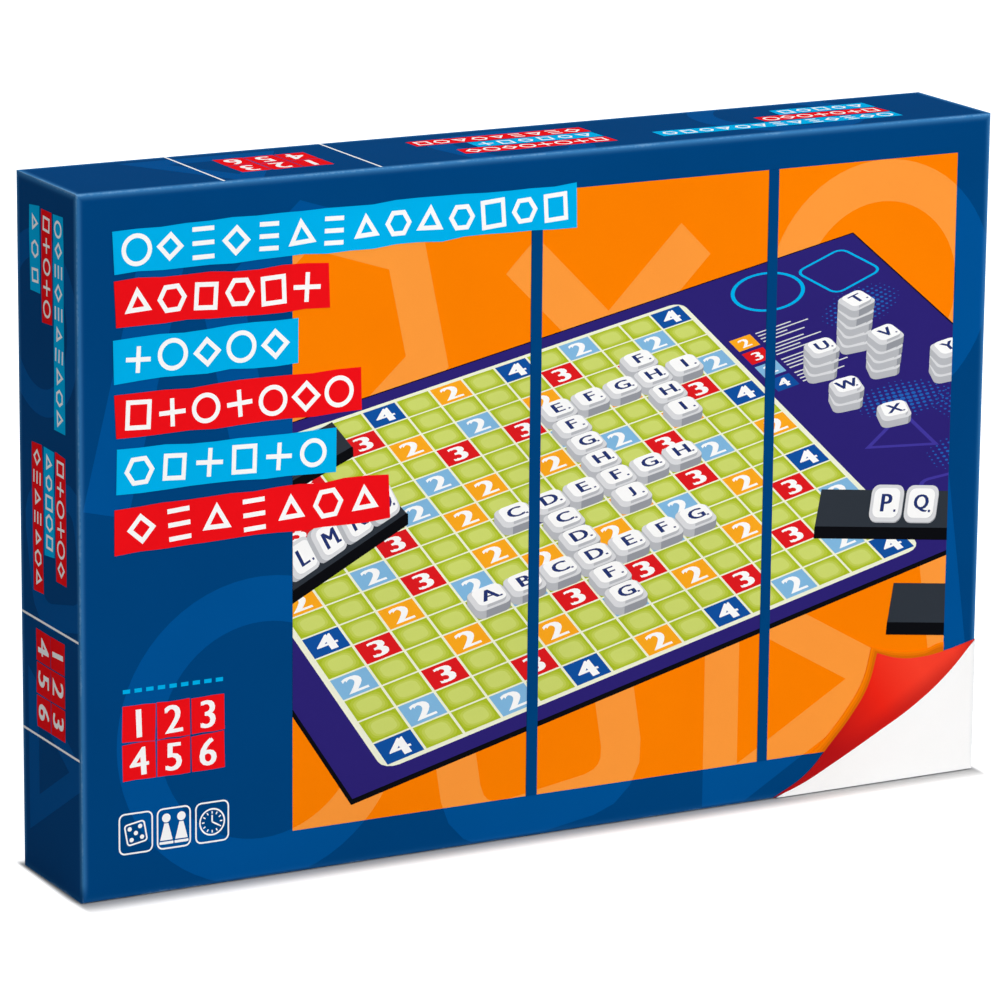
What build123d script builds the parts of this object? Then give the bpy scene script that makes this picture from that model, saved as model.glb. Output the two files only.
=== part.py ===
"""Word board game in its lift-off-lid box, standing on its long edge.

+Z is up, the lid's printed face looks along -Y, and the origin is at the middle of the
face that the box stands on. All sizes are in millimetres.
"""

from build123d import *
import os

# The closed box
box_width = 380.0
box_height = 260.0
box_depth = 53.0

# What the box is made of
greyboard = 1.8  # thickness of the folded board
paper = 0.2  # thickness of every printed or lining paper
fold_radius = 1.0  # outside of a fold in the greyboard
turn_in = 18.0  # paper turned in over a rim
stay_tape = 0.12  # tape pressed into the greyboard where two walls meet
stay_reach = 15.0  # tape on each side of a corner
stay_end_gap = 1.5  # bare board between the tape and a rim or a fold

# How the two halves fit
lid_clearance = 0.4  # all round, between the base and the lid
lid_reveal = 1.0  # the base's back stands out past the lid's rim
rim_gap = 0.5  # the base's rim to the inside of the lid's face

# How the contents lie in the base
seat_gap = 0.3  # what stands in the box to what carries it
stack_gap = 0.5  # one layer of the contents to the next

# Folding game board, stored folded with its printed side inwards
leaf_side_play = 7.7  # a leaf's side to the base's wall
leaf_top_play = 5.1  # the spine to the base's upper wall
leaf_core = 1.6
leaf_edge = 1.5  # backing paper that shows round the printed face
crease_gap = 0.3  # between the two printed faces, and between the two spines when flat

# Rules leaflet, one sheet folded once
leaflet_width = 148.0
leaflet_height = 210.0
leaflet_paper = 0.15
leaflet_bend = 0.1  # inside radius of its fold

# Letter tiles, lying in two wells
tile_side = 18.5
tile_slab = 5.0
tile_corner = 4.0
tile_pad_side = 14.0
tile_pad_height = 1.2
tile_pad_corner = 2.6
tile_nest_play = 0.3  # round and over a pad in the recess of the tile above it
corner_cut = 0.75  # of a tile's corner radius, taken off by its flat corner
tile_columns = 8
tile_rows = 6

# Tile racks, lying on their feet in four channels
rack_depth = 27.0
rack_height = 20.0
rack_wall = 1.8
rack_lip_thickness = 2.2
rack_lip_height = 8.0
rack_ledge_height = 4.2
rack_ledge_depth = 6.0
rack_slope_run = 9.5  # how far the tiles lean back
rack_top = 2.4
rack_lip_chamfer = 2.0  # off the lip's two ends
rack_ribs = 2

# Thermoformed insert tray
tray_skin = 0.8
tray_draft = 2.0  # degrees
tray_corner = 6.0
tray_margin = 8.0  # tray's edge to a rack channel
between_channels = 17.8  # one rack channel's end to the next one's
pocket_corner = 1.2  # cut off each corner of a pocket
channel_play = 1.5  # past a rack, or past a row of tiles
rack_slot_height = 16.0  # finger slot between two racks' ends
tile_slot_height = 44.0  # finger slot between the two wells of tiles
finger_slot_overlap = 4.0  # how far a slot runs into the pocket that it opens

# Places that follow from the sizes
wall = paper + greyboard
middle_z = box_height / 2
front_y = -box_depth / 2
back_y = box_depth / 2
lid_rim_y = back_y - lid_reveal
lid_inside_y = front_y + wall
base_rim_y = lid_inside_y + rim_gap
base_inside_y = back_y - wall
base_width = box_width - 2 * (wall + paper + lid_clearance)
base_height = box_height - 2 * (wall + paper + lid_clearance)
inside_width = base_width - 2 * (wall + paper)
inside_height = base_height - 2 * (wall + paper)
seat_z = middle_z - inside_height / 2 + seat_gap

leaf_width = inside_width - 2 * leaf_side_play
leaf_height = inside_height - seat_gap - leaf_top_play
leaf_thickness = leaf_core + 2 * paper
front_leaf_back_y = lid_inside_y + stack_gap
front_leaf_face_y = front_leaf_back_y + leaf_thickness
rear_leaf_face_y = front_leaf_face_y + crease_gap
rear_leaf_back_y = rear_leaf_face_y + leaf_thickness

leaflet_front_y = rear_leaf_back_y + stack_gap
leaflet_thickness = 2 * (leaflet_paper + leaflet_bend)
plateau_y = leaflet_front_y + leaflet_thickness + stack_gap
tray_foot_y = base_inside_y - seat_gap
tray_width = inside_width - 2 * seat_gap
tray_height = inside_height - 2 * seat_gap

channel_depth = rack_height + seat_gap + stack_gap
channel_width = (tray_width - 2 * tray_margin - between_channels) / 2
rack_length = channel_width - 2 * channel_play
channel_height = rack_depth + seat_gap + channel_play
channel_x = tray_width / 2 - tray_margin - channel_width / 2
lower_row_z = middle_z - (tray_height / 2 - tray_margin - channel_height / 2)
upper_row_z = middle_z + (tray_height / 2 - tray_margin - channel_height / 2)
rack_foot_y = plateau_y + channel_depth - seat_gap

tile_pitch = tile_side + seat_gap
tile_height = tile_slab + tile_pad_height
well_depth = tile_height + 2 * seat_gap
well_width = tile_columns * tile_pitch + 2 * channel_play
well_height = tile_rows * tile_pitch + seat_gap + channel_play
tile_foot_y = plateau_y + well_depth - seat_gap


def face_plane(y):
    """A plane parallel to the box's face, at depth y: its x is +X, its y is +Z, and it looks along -Y."""
    return Plane.XZ.offset(-y)


def block(width, height, y_from, y_to, centre_z=middle_z):
    """A plain slab centred on the box's middle, from one depth to another."""
    with BuildPart() as slab:
        with BuildSketch(face_plane(y_from)):
            with Locations((0, centre_z)):
                Rectangle(width, height)
        extrude(amount=y_from - y_to)
    return slab.part


def folded_block(width, height, floor_y, rim_y, radius):
    """A slab whose floor edges are rounded as folded board is; its corners and its rim stay square."""
    with BuildPart() as slab:
        add(block(width, height, floor_y, rim_y))
        fillet(slab.faces().filter_by_position(Axis.Y, floor_y, floor_y).edges(), radius)
    return slab.part


def corner_stays(width, height, floor_y, rim_y):
    """Tape bent round the four corners where the walls of a greyboard shell meet."""
    towards_rim = 1 if rim_y > floor_y else -1
    tape_from = floor_y + towards_rim * (fold_radius + stay_end_gap)
    tape_to = rim_y - towards_rim * stay_end_gap
    with BuildPart() as stays:
        with BuildSketch(face_plane(tape_from)):
            with Locations((0, middle_z)):
                Rectangle(width, height)
                Rectangle(width - 2 * stay_tape, height - 2 * stay_tape, mode=Mode.SUBTRACT)
                Rectangle(width - 2 * stay_reach, height, mode=Mode.SUBTRACT)
                Rectangle(width, height - 2 * stay_reach, mode=Mode.SUBTRACT)
        extrude(amount=tape_from - tape_to)
    return stays.part


def greyboard_shell(width, height, floor_y, rim_y):
    """One scored and folded sheet of greyboard: a floor and four walls, open at the rim."""
    towards_rim = 1 if rim_y > floor_y else -1
    with BuildPart() as shell:
        add(folded_block(width, height, floor_y, rim_y, fold_radius))
        add(
            block(
                width - 2 * greyboard,
                height - 2 * greyboard,
                floor_y + towards_rim * greyboard,
                rim_y,
            ),
            mode=Mode.SUBTRACT,
        )
        add(corner_stays(width, height, floor_y, rim_y), mode=Mode.SUBTRACT)
    return shell.part


def paper_wrap(width, height, floor_y, rim_y):
    """The paper glued over a greyboard shell, taken round its rim and turned in."""
    towards_rim = 1 if rim_y > floor_y else -1
    board_width = width - 2 * paper
    board_height = height - 2 * paper
    board_floor = floor_y + towards_rim * paper
    board_rim = rim_y - towards_rim * paper
    turn_in_y = board_rim - towards_rim * turn_in
    inner_width = board_width - 2 * greyboard
    inner_height = board_height - 2 * greyboard
    with BuildPart() as wrap:
        add(folded_block(width, height, floor_y, rim_y, fold_radius + paper))
        add(
            folded_block(board_width, board_height, board_floor, board_rim, fold_radius),
            mode=Mode.SUBTRACT,
        )
        add(block(inner_width, inner_height, turn_in_y, board_rim))
        add(
            block(inner_width - 2 * paper, inner_height - 2 * paper, turn_in_y, rim_y),
            mode=Mode.SUBTRACT,
        )
    return wrap.part


os.makedirs("parts", exist_ok=True)

# Lid: the greyboard, its stays and the printed wrap
lid_size = (box_width - 2 * paper, box_height - 2 * paper)
with BuildPart() as lid_board:
    add(greyboard_shell(*lid_size, front_y + paper, lid_rim_y - paper))
with BuildPart() as lid_corner_stays:
    add(corner_stays(*lid_size, front_y + paper, lid_rim_y - paper))
with BuildPart() as lid_wrap:
    add(paper_wrap(box_width, box_height, front_y, lid_rim_y))

# Base: the same construction, facing the other way
base_size = (base_width - 2 * paper, base_height - 2 * paper)
with BuildPart() as base_board:
    add(greyboard_shell(*base_size, back_y - paper, base_rim_y + paper))
with BuildPart() as base_corner_stays:
    add(corner_stays(*base_size, back_y - paper, base_rim_y + paper))
with BuildPart() as base_wrap:
    add(paper_wrap(base_width, base_height, back_y, base_rim_y))


def leaf_slab(inset, y_from, y_to, spine_inset):
    """A slab of one board leaf, inset on its three free edges and, by its own amount, at the spine."""
    height = leaf_height - inset - spine_inset
    with BuildPart() as slab:
        with BuildSketch(face_plane(y_from)):
            with Locations((0, seat_z + inset + height / 2)):
                Rectangle(leaf_width - 2 * inset, height)
        extrude(amount=y_from - y_to)
    return slab.part


def board_leaf(face_y, back_y_of_leaf):
    """One leaf of the game board: greyboard core, black backing wrapped round it, printed face paper."""
    inwards = 1 if back_y_of_leaf > face_y else -1
    with BuildPart() as core:
        add(leaf_slab(paper, face_y + inwards * paper, back_y_of_leaf - inwards * paper, paper))
    with BuildPart() as face:
        add(leaf_slab(leaf_edge, face_y, face_y + inwards * paper, 0))
    with BuildPart() as backing:
        add(leaf_slab(0, face_y, back_y_of_leaf, 0))
        add(core.part, mode=Mode.SUBTRACT)
        add(face.part, mode=Mode.SUBTRACT)
    return core, face, backing


front_leaf_core, front_leaf_face, front_leaf_backing = board_leaf(front_leaf_face_y, front_leaf_back_y)
rear_leaf_core, rear_leaf_face, rear_leaf_backing = board_leaf(rear_leaf_face_y, rear_leaf_back_y)

# Rules leaflet: one sheet bent back on itself along its left edge
leaflet_middle_y = leaflet_front_y + leaflet_thickness / 2
leaflet_bend_x = -leaflet_width / 2 + leaflet_thickness / 2
with BuildPart() as rules_leaflet:
    with BuildSketch(Plane.XY.offset(seat_z)):
        with Locations((leaflet_bend_x + (leaflet_width - leaflet_thickness / 2) / 2, leaflet_middle_y)):
            Rectangle(leaflet_width - leaflet_thickness / 2, leaflet_thickness)
        with Locations((leaflet_bend_x, leaflet_middle_y)):
            Circle(leaflet_thickness / 2)
            Circle(leaflet_bend, mode=Mode.SUBTRACT)
        with Locations((leaflet_bend_x + leaflet_width / 2, leaflet_middle_y)):
            Rectangle(leaflet_width, 2 * leaflet_bend, mode=Mode.SUBTRACT)
    extrude(amount=leaflet_height)


def pocket(width, height, depth, skin, x, z):
    """A drafted pocket sunk from the tray's plateau; skin enlarges it for the tray's underside."""
    floor_y = plateau_y + depth + skin
    with BuildPart() as sunk:
        with BuildSketch(face_plane(floor_y)) as outline:
            with Locations((x, z)):
                Rectangle(width, height)
            chamfer(outline.vertices(), pocket_corner)
            if skin:
                offset(amount=skin, kind=Kind.INTERSECTION)
        extrude(amount=depth, taper=-tray_draft)
    return sunk.part


def formed_block(skin):
    """The tray as a solid block with its pockets: skin 0 is the outside, tray_skin the inside."""
    top_y = plateau_y + skin
    rack_slot_width = 2 * (channel_x - channel_width / 2 + finger_slot_overlap)
    tile_slot_width = 2 * (channel_x - well_width / 2 + finger_slot_overlap)
    with BuildPart() as formed:
        with BuildSketch(face_plane(tray_foot_y)):
            with Locations((0, middle_z)):
                RectangleRounded(tray_width - 2 * skin, tray_height - 2 * skin, tray_corner - skin)
        extrude(amount=tray_foot_y - top_y, taper=tray_draft)
        for row_z in (lower_row_z, upper_row_z):
            for x in (-channel_x, channel_x):
                add(
                    pocket(channel_width, channel_height, channel_depth, skin, x, row_z),
                    mode=Mode.SUBTRACT,
                )
            add(
                pocket(rack_slot_width, rack_slot_height, channel_depth, skin, 0, row_z),
                mode=Mode.SUBTRACT,
            )
        for x in (-channel_x, channel_x):
            add(
                pocket(well_width, well_height, well_depth, skin, x, middle_z),
                mode=Mode.SUBTRACT,
            )
        add(
            pocket(tile_slot_width, tile_slot_height, well_depth, skin, 0, middle_z),
            mode=Mode.SUBTRACT,
        )
    return formed.part


with BuildPart() as insert_tray:
    add(formed_block(0))
    add(formed_block(tray_skin), mode=Mode.SUBTRACT)


def tile_squares(foot_y, side, corner, centre_x):
    """The outlines of one well's tiles at one depth, each a square with its corners cut."""
    lowest_z = middle_z - well_height / 2 + seat_gap
    centre_z = lowest_z + (tile_rows * tile_pitch - seat_gap) / 2
    with BuildSketch(face_plane(foot_y)) as squares:
        with Locations((centre_x, centre_z)):
            with GridLocations(tile_pitch, tile_pitch, tile_columns, tile_rows):
                Rectangle(side, side)
        chamfer(squares.vertices(), corner_cut * corner)
    return squares.sketch


def tile_group(centre_x):
    """One well's letter tiles: each a slab with a raised pad, and the recess that a pad below fits into."""
    recess_side = tile_pad_side + 2 * tile_nest_play
    with BuildPart() as tiles:
        extrude(tile_squares(tile_foot_y, tile_side, tile_corner, centre_x), amount=tile_slab)
        pads = tile_squares(tile_foot_y - tile_slab, tile_pad_side, tile_pad_corner, centre_x)
        extrude(pads, amount=tile_pad_height)
        recesses = tile_squares(tile_foot_y, recess_side, tile_pad_corner, centre_x)
        extrude(recesses, amount=tile_pad_height + tile_nest_play, mode=Mode.SUBTRACT)
    return tiles


letter_tiles_left = tile_group(-channel_x)
letter_tiles_right = tile_group(channel_x)


def rack_outline(foot):
    """The rack's section, foot first: a lip, a ledge, and the panel that the tiles lean on.

    The section's x runs from the lip to the rack's back and its y up from the feet. A foot below 0
    carries the front and the back straight on, which leaves the section open there once it is inset.
    """
    slope_foot = rack_lip_thickness + rack_ledge_depth
    slope_top = slope_foot + rack_slope_run
    back_top = slope_top + rack_top
    back_lean = (rack_depth - back_top) / rack_height
    return [
        (0, foot),
        (0, rack_lip_height),
        (rack_lip_thickness, rack_lip_height),
        (rack_lip_thickness, rack_ledge_height),
        (slope_foot, rack_ledge_height),
        (slope_top, rack_height),
        (back_top, rack_height),
        (rack_depth - foot * back_lean, foot),
    ]


def tile_rack(centre_x, row_z):
    """One rack, hollow from its feet, with a wall at each end and ribs between."""
    foot_z = row_z - channel_height / 2 + seat_gap
    section = Plane(
        origin=(centre_x - rack_length / 2, rack_foot_y, foot_z), x_dir=(0, 0, 1), z_dir=(1, 0, 0)
    )
    bay_length = (rack_length - (rack_ribs + 2) * rack_wall) / (rack_ribs + 1)
    with BuildPart() as rack:
        with BuildSketch(section):
            with BuildLine():
                Polyline(*rack_outline(0), close=True)
            make_face()
        extrude(amount=rack_length)
        lip_corners = (
            rack.edges()
            .filter_by(Axis.Y)
            .filter_by(lambda edge: edge.center().Z < foot_z + rack_lip_thickness / 2)
        )
        chamfer(lip_corners, rack_lip_chamfer)
        for bay in range(rack_ribs + 1):
            with BuildSketch(section.offset(rack_wall + bay * (bay_length + rack_wall))):
                with BuildLine():
                    Polyline(*rack_outline(-rack_wall), close=True)
                make_face()
                offset(amount=-rack_wall, kind=Kind.INTERSECTION, mode=Mode.REPLACE)
            extrude(amount=bay_length, mode=Mode.SUBTRACT)
    return rack


rack_1 = tile_rack(-channel_x, upper_row_z)
rack_2 = tile_rack(channel_x, upper_row_z)
rack_3 = tile_rack(-channel_x, lower_row_z)
rack_4 = tile_rack(channel_x, lower_row_z)

for name, piece in {
    "lid_board": lid_board,
    "lid_corner_stays": lid_corner_stays,
    "lid_wrap": lid_wrap,
    "base_board": base_board,
    "base_corner_stays": base_corner_stays,
    "base_wrap": base_wrap,
    "front_leaf_core": front_leaf_core,
    "front_leaf_face": front_leaf_face,
    "front_leaf_backing": front_leaf_backing,
    "rear_leaf_core": rear_leaf_core,
    "rear_leaf_face": rear_leaf_face,
    "rear_leaf_backing": rear_leaf_backing,
    "rules_leaflet": rules_leaflet,
    "insert_tray": insert_tray,
    "rack_1": rack_1,
    "rack_2": rack_2,
    "rack_3": rack_3,
    "rack_4": rack_4,
    "letter_tiles_left": letter_tiles_left,
    "letter_tiles_right": letter_tiles_right,
}.items():
    piece.part.label = name
    export_step(piece.part, f"parts/{name}.step")
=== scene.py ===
"""Word board game in its set-up box: print, papers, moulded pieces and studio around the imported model.

Every length in the classes is in millimetres unless its name ends in _m; the frame itself is in metres.
"""
import logging
import math
import random
from collections.abc import Callable
from dataclasses import dataclass, field, replace
from enum import Enum

import bmesh
import bpy
from mathutils import Matrix, Vector


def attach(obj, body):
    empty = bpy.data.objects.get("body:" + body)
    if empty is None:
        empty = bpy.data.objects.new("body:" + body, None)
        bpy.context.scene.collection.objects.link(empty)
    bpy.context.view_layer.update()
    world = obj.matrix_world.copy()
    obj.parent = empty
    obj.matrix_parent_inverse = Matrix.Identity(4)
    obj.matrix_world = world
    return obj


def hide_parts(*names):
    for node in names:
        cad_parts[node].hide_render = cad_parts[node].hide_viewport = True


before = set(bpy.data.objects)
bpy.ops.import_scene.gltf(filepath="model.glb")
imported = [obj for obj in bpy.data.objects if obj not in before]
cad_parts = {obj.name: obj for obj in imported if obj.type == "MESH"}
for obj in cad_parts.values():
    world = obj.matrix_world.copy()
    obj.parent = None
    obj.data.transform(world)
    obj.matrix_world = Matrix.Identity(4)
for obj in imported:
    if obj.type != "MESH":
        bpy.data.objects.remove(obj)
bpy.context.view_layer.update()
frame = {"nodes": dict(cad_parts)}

MM = 0.001
log = logging.getLogger("word_board_game")

Colour = tuple[float, float, float, float]
Pair = tuple[float, float]
Triple = tuple[float, float, float]
Shape = bmesh.types.BMesh
Face = bmesh.types.BMFace
Material = bpy.types.Material
Socket = bpy.types.NodeSocket
Sockets = dict[str, Socket]
Rows = tuple[tuple[float | int, ...], ...]


def tint(code: str) -> Colour:
    """Turns a written colour into Blender's linear one, by the sRGB curve.

    Args:
        code: The colour as #RRGGBB.

    Returns:
        Red, green, blue and alpha, linear.
    """
    parts = [int(code[place:place + 2], 16) / 255 for place in (1, 3, 5)]
    linear = [part / 12.92 if part <= 0.04045 else ((part + 0.055) / 1.055) ** 2.4 for part in parts]
    return (*linear, 1.0)


def scaled(colour: Colour, factor: float) -> Colour:
    """A colour made lighter or darker, kept within 0 and 1."""
    return (*(min(1.0, part * factor) for part in colour[:3]), 1.0)


@dataclass(frozen=True)
class NodeBench:
    """Adds and joins the nodes of one tree."""

    tree: bpy.types.NodeTree
    other_mix_inputs: int = 5
    mix_output: int = 2

    def add(self, kind: str, *sockets: object, **settings: object) -> bpy.types.Node:
        """Adds a node.

        Args:
            kind: The node's type without ShaderNode.
            sockets: Values or outputs for its inputs, in order; None leaves an input as it is.
            settings: The node's own properties.

        Returns:
            The node.
        """
        node = self.tree.nodes.new("ShaderNode" + kind)
        for name, value in settings.items():
            setattr(node, name, value)
        for place, value in zip(node.inputs, sockets, strict=False):
            self.fill(place, value)
        return node

    def fill(self, place: Socket, value: object) -> None:
        """Joins an output to an input, or sets the input's own value.

        Args:
            place: The input.
            value: An output or a value; None leaves the input as it is.
        """
        if isinstance(value, Socket):
            self.tree.links.new(value, place)
        elif value is not None:
            place.default_value = value

    def math(self, operation: str, *values: object) -> Socket:
        """The output of a Math node."""
        return self.add("Math", *values, operation=operation).outputs[0]

    def times(self, first: object, second: object) -> Socket:
        """The product of two values."""
        return self.math("MULTIPLY", first, second)

    def plus(self, first: object, second: object) -> Socket:
        """The sum of two values."""
        return self.math("ADD", first, second)

    def minus(self, first: object, second: object) -> Socket:
        """The first value less the second."""
        return self.math("SUBTRACT", first, second)

    def vector(self, operation: str, *values: object) -> Socket:
        """The vector output of a Vector Math node."""
        return self.add("VectorMath", *values, operation=operation).outputs[0]

    def measure(self, operation: str, *values: object) -> Socket:
        """The value output of a Vector Math node."""
        return self.add("VectorMath", *values, operation=operation).outputs["Value"]

    def parts(self, value: object) -> bpy.types.NodeOutputs:
        """The three parts of a vector."""
        return self.add("SeparateXYZ", value).outputs

    def remap(
        self, value: object, low: float, high: object, out_low: object = 0.0, out_high: object = 1.0,
    ) -> Socket:
        """A value moved smoothly from one range to another and kept within it."""
        ranges = (low, high, out_low, out_high)
        return self.add("MapRange", value, *ranges, interpolation_type="SMOOTHSTEP").outputs[0]

    def mix(self, share: object, first: object, second: object) -> Socket:
        """A colour between two others, by the share of the second."""
        others = (None,) * self.other_mix_inputs
        return self.add("Mix", share, *others, first, second, data_type="RGBA").outputs[self.mix_output]

    def noise(self, where: object, scale: object, detail: float = 2.0) -> Socket:
        """Smooth noise with scale waves in a metre and finer ones by its detail."""
        return self.add("TexNoise", where, None, scale, detail).outputs[0]

    def place(self) -> Socket:
        """Object coordinates, which are the frame's own metres."""
        return self.add("TexCoord").outputs["Object"]


Wire = Callable[[NodeBench, Sockets], tuple[Socket, ...]]


class Effect:
    """A shader node group that several finishes share, built once.

    Args:
        name: The group's name.
        inputs: Socket name and default of each input; a tuple makes a vector input.
        outputs: Names of the value outputs.
        wire: Joins the group's nodes and returns the sockets for its outputs, in order.
    """

    def __init__(
        self, name: str, inputs: dict[str, float | Triple], outputs: tuple[str, ...], wire: Wire,
    ) -> None:
        """Builds the group."""
        self.tree = bpy.data.node_groups.new(name, "ShaderNodeTree")
        for label, value in inputs.items():
            kind = "NodeSocketVector" if isinstance(value, tuple) else "NodeSocketFloat"
            socket = self.tree.interface.new_socket(label, in_out="INPUT", socket_type=kind)
            socket.default_value = value
        for label in outputs:
            self.tree.interface.new_socket(label, in_out="OUTPUT", socket_type="NodeSocketFloat")
        entry = self.tree.nodes.new("NodeGroupInput")
        leave = self.tree.nodes.new("NodeGroupOutput")
        given = {label: entry.outputs[label] for label in inputs}
        for label, result in zip(outputs, wire(NodeBench(self.tree), given), strict=True):
            self.tree.links.new(result, leave.inputs[label])

    def use(self, bench: NodeBench, **values: object) -> Sockets:
        """Places the group in a material.

        Args:
            bench: The material's bench.
            values: Input values by name.

        Returns:
            The group's outputs by name.
        """
        node = bench.tree.nodes.new("ShaderNodeGroup")
        node.node_tree = self.tree
        for label, value in values.items():
            bench.fill(node.inputs[label], value)
        return {socket.name: socket for socket in node.outputs}


def wire_edge_wear_sheen(bench: NodeBench, given: Sockets) -> tuple[Socket, ...]:
    """Masks of the worn flecks and of a painted highlight along the edges of a box.

    Args:
        bench: The group's bench.
        given: Centre, Half, Width and Breakup.

    Returns:
        The mask of the worn flecks and that of the painted highlight along the whole edge, which fades near
        the floor.
    """
    where = bench.place()
    from_centre = bench.vector("ABSOLUTE", bench.vector("SUBTRACT", where, given["Centre"]))
    inward = bench.parts(bench.vector("SUBTRACT", given["Half"], from_centre))
    low = bench.math("MINIMUM", inward[0], inward[1])
    high = bench.math("MAXIMUM", inward[0], inward[1])
    from_edge = bench.math("MAXIMUM", low, bench.math("MINIMUM", high, inward[2]))
    patches = bench.math("POWER", bench.noise(where, scale=60.0, detail=4.0), 2.0)
    flecks = bench.noise(where, scale=900.0, detail=3.0)
    broken = bench.times(bench.times(patches, flecks), given["Breakup"])
    worn = bench.minus(1.0, bench.remap(from_edge, 0.0, bench.times(given["Width"], broken)))
    # Painted highlight: a lighter band along every edge of the box, weaker near the floor.
    fold_width = bench.times(given["Width"], 2.6)
    fold = bench.math("POWER", bench.minus(1.0, bench.remap(from_edge, 0.0, fold_width)), 2.0)
    off_floor = bench.remap(bench.parts(where)[2], low=0.002, high=0.008, out_low=0.2)
    return worn, bench.times(fold, off_floor)


def wire_paper_grain(bench: NodeBench, given: Sockets) -> tuple[Socket, ...]:
    """Fine fibre relief and slow mottling of a printed sheet.

    Args:
        bench: The group's bench.
        given: Scale and Mottle.

    Returns:
        Height and tone.
    """
    where = bench.place()
    fine = bench.noise(where, given["Scale"], detail=3.0)
    slow = bench.noise(where, bench.times(given["Scale"], 0.012), detail=3.0)
    mottling = bench.times(bench.minus(slow, 0.5), given["Mottle"])
    fibres = bench.times(bench.minus(fine, 0.5), 0.3)
    return fine, bench.plus(0.5, bench.plus(mottling, fibres))


def wire_fibres(bench: NodeBench, given: Sockets) -> tuple[Socket, ...]:
    """Pulp fibres and dark specks of grey board.

    Args:
        bench: The group's bench.
        given: Scale.

    Returns:
        Height and specks.
    """
    where = bench.place()
    drawn_out = bench.vector("MULTIPLY", where, (1.0, 1.0, 0.3))
    fibres = bench.noise(drawn_out, given["Scale"], detail=5.0)
    pulp = bench.noise(where, bench.times(given["Scale"], 1.7))
    return fibres, bench.remap(pulp, low=0.62, high=0.72)


def wire_moulded_skin(bench: NodeBench, given: Sockets) -> tuple[Socket, ...]:
    """Spark-eroded mould texture with slow changes of gloss and scuffs.

    Args:
        bench: The group's bench.
        given: Scale.

    Returns:
        Height, gloss and scuffs.
    """
    where = bench.place()
    grain = bench.noise(where, given["Scale"])
    gloss = bench.noise(where, scale=35.0, detail=3.0)
    drawn_out = bench.vector("MULTIPLY", where, (0.5, 6.0, 9.0))
    streaks = bench.noise(drawn_out, scale=90.0, detail=0.0)
    return grain, gloss, bench.remap(streaks, low=0.5, high=0.95)


class Effects:
    """The shared shader effects of the whole part."""

    def __init__(self) -> None:
        """Builds the four groups."""
        box = {"Centre": (0.0, 0.0, 0.0), "Half": (0.1, 0.1, 0.1), "Width": 0.001, "Breakup": 4.0}
        # Worn flecks and a painted highlight along the box's edges.
        self.edge_wear_sheen = Effect("Edge rub", box, ("Flecks", "Fold"), wire_edge_wear_sheen)
        paper = {"Scale": 1500.0, "Mottle": 1.0}
        self.paper_grain = Effect("Paper grain", paper, ("Height", "Tone"), wire_paper_grain)
        self.fibres = Effect("Board fibres", {"Scale": 500.0}, ("Height", "Specks"), wire_fibres)
        skin = ("Height", "Gloss", "Scuffs")
        self.moulded_skin = Effect("Moulded skin", {"Scale": 2200.0}, skin, wire_moulded_skin)


class Draft:
    """A new material with its bench and its Principled node.

    Args:
        name: The material's name.
    """

    def __init__(self, name: str) -> None:
        """Makes the node material."""
        self.material = bpy.data.materials.new(name)
        self.material.use_nodes = True
        self.bench = NodeBench(self.material.node_tree)
        self.shader = self.material.node_tree.nodes["Principled BSDF"]

    def set(self, **values: object) -> None:
        """Fills the shader's inputs, named with _ for a space."""
        for label, value in values.items():
            self.bench.fill(self.shader.inputs[label.replace("_", " ")], value)

    def shades(self, share: Socket, colour: Colour, low: float, high: float) -> Socket:
        """A colour between two shades, which are factors of it, by the share of the lighter one."""
        return self.bench.mix(share, scaled(colour, low), scaled(colour, high))

    def relief(self, height: Socket, strength: float, depth_m: float) -> None:
        """Feeds a height through a Bump node to the shader's normal."""
        bump = self.bench.add("Bump", strength, depth_m, None, height)
        self.set(Normal=bump.outputs[0])


@dataclass(frozen=True)
class WearAndSheenBox:
    """The box along whose edges the print wears and a painted highlight shows, in the frame."""

    centre_m: Triple
    half_m: Triple
    width_m: float = 0.0014


# Boxes whose edges get worn flecks and a painted highlight in the print.
LID_WEAR_AND_SHEEN = WearAndSheenBox((0.0, -0.0005, 0.13), (0.19, 0.026, 0.13))
BASE_WEAR_AND_SHEEN = WearAndSheenBox((0.0, 0.001, 0.13), (0.1874, 0.0255, 0.1274))


@dataclass(frozen=True)
class PrintedPaper:
    """Printed and varnished paper in one colour."""

    name: str
    colour: str
    wear_and_sheen: WearAndSheenBox | None = None
    worn: str = "#8DB6DA"
    fold_sheen_colour: str = "#4489C2"
    roughness: float = 0.42
    varnish: float = 0.012
    swing: float = 0.07
    mottle: float = 1.2
    fold_sheen_share: float = 0.75
    fleck_share: float = 0.45
    fleck_roughness: float = 0.3

    def make(self, effects: Effects) -> Material:
        """Builds the material.

        Args:
            effects: The shared effects.

        Returns:
            The material.
        """
        draft = Draft(self.name)
        bench = draft.bench
        grain = effects.paper_grain.use(bench, Scale=1500.0, Mottle=self.mottle)
        base = draft.shades(grain["Tone"], tint(self.colour), 1 - self.swing, 1 + self.swing)
        gloss = bench.remap(grain["Tone"], 0.2, 0.8, self.roughness - 0.04, self.roughness + 0.05)
        if self.wear_and_sheen is not None:
            box = {"Centre": self.wear_and_sheen.centre_m, "Half": self.wear_and_sheen.half_m, "Width": self.wear_and_sheen.width_m}
            wear_and_sheen = effects.edge_wear_sheen.use(bench, **box)
            # Painted highlight along the edges, then worn flecks over it.
            base = bench.mix(bench.times(wear_and_sheen["Fold"], self.fold_sheen_share), base, tint(self.fold_sheen_colour))
            base = bench.mix(bench.times(wear_and_sheen["Flecks"], self.fleck_share), base, tint(self.worn))
            gloss = bench.plus(gloss, bench.times(wear_and_sheen["Flecks"], self.fleck_roughness))
        draft.set(Base_Color=base, Roughness=gloss)
        draft.set(Coat_Weight=self.varnish, Coat_Roughness=0.2, Specular_IOR_Level=0.0)
        draft.relief(grain["Height"], strength=0.16, depth_m=0.00004)
        return draft.material


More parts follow.
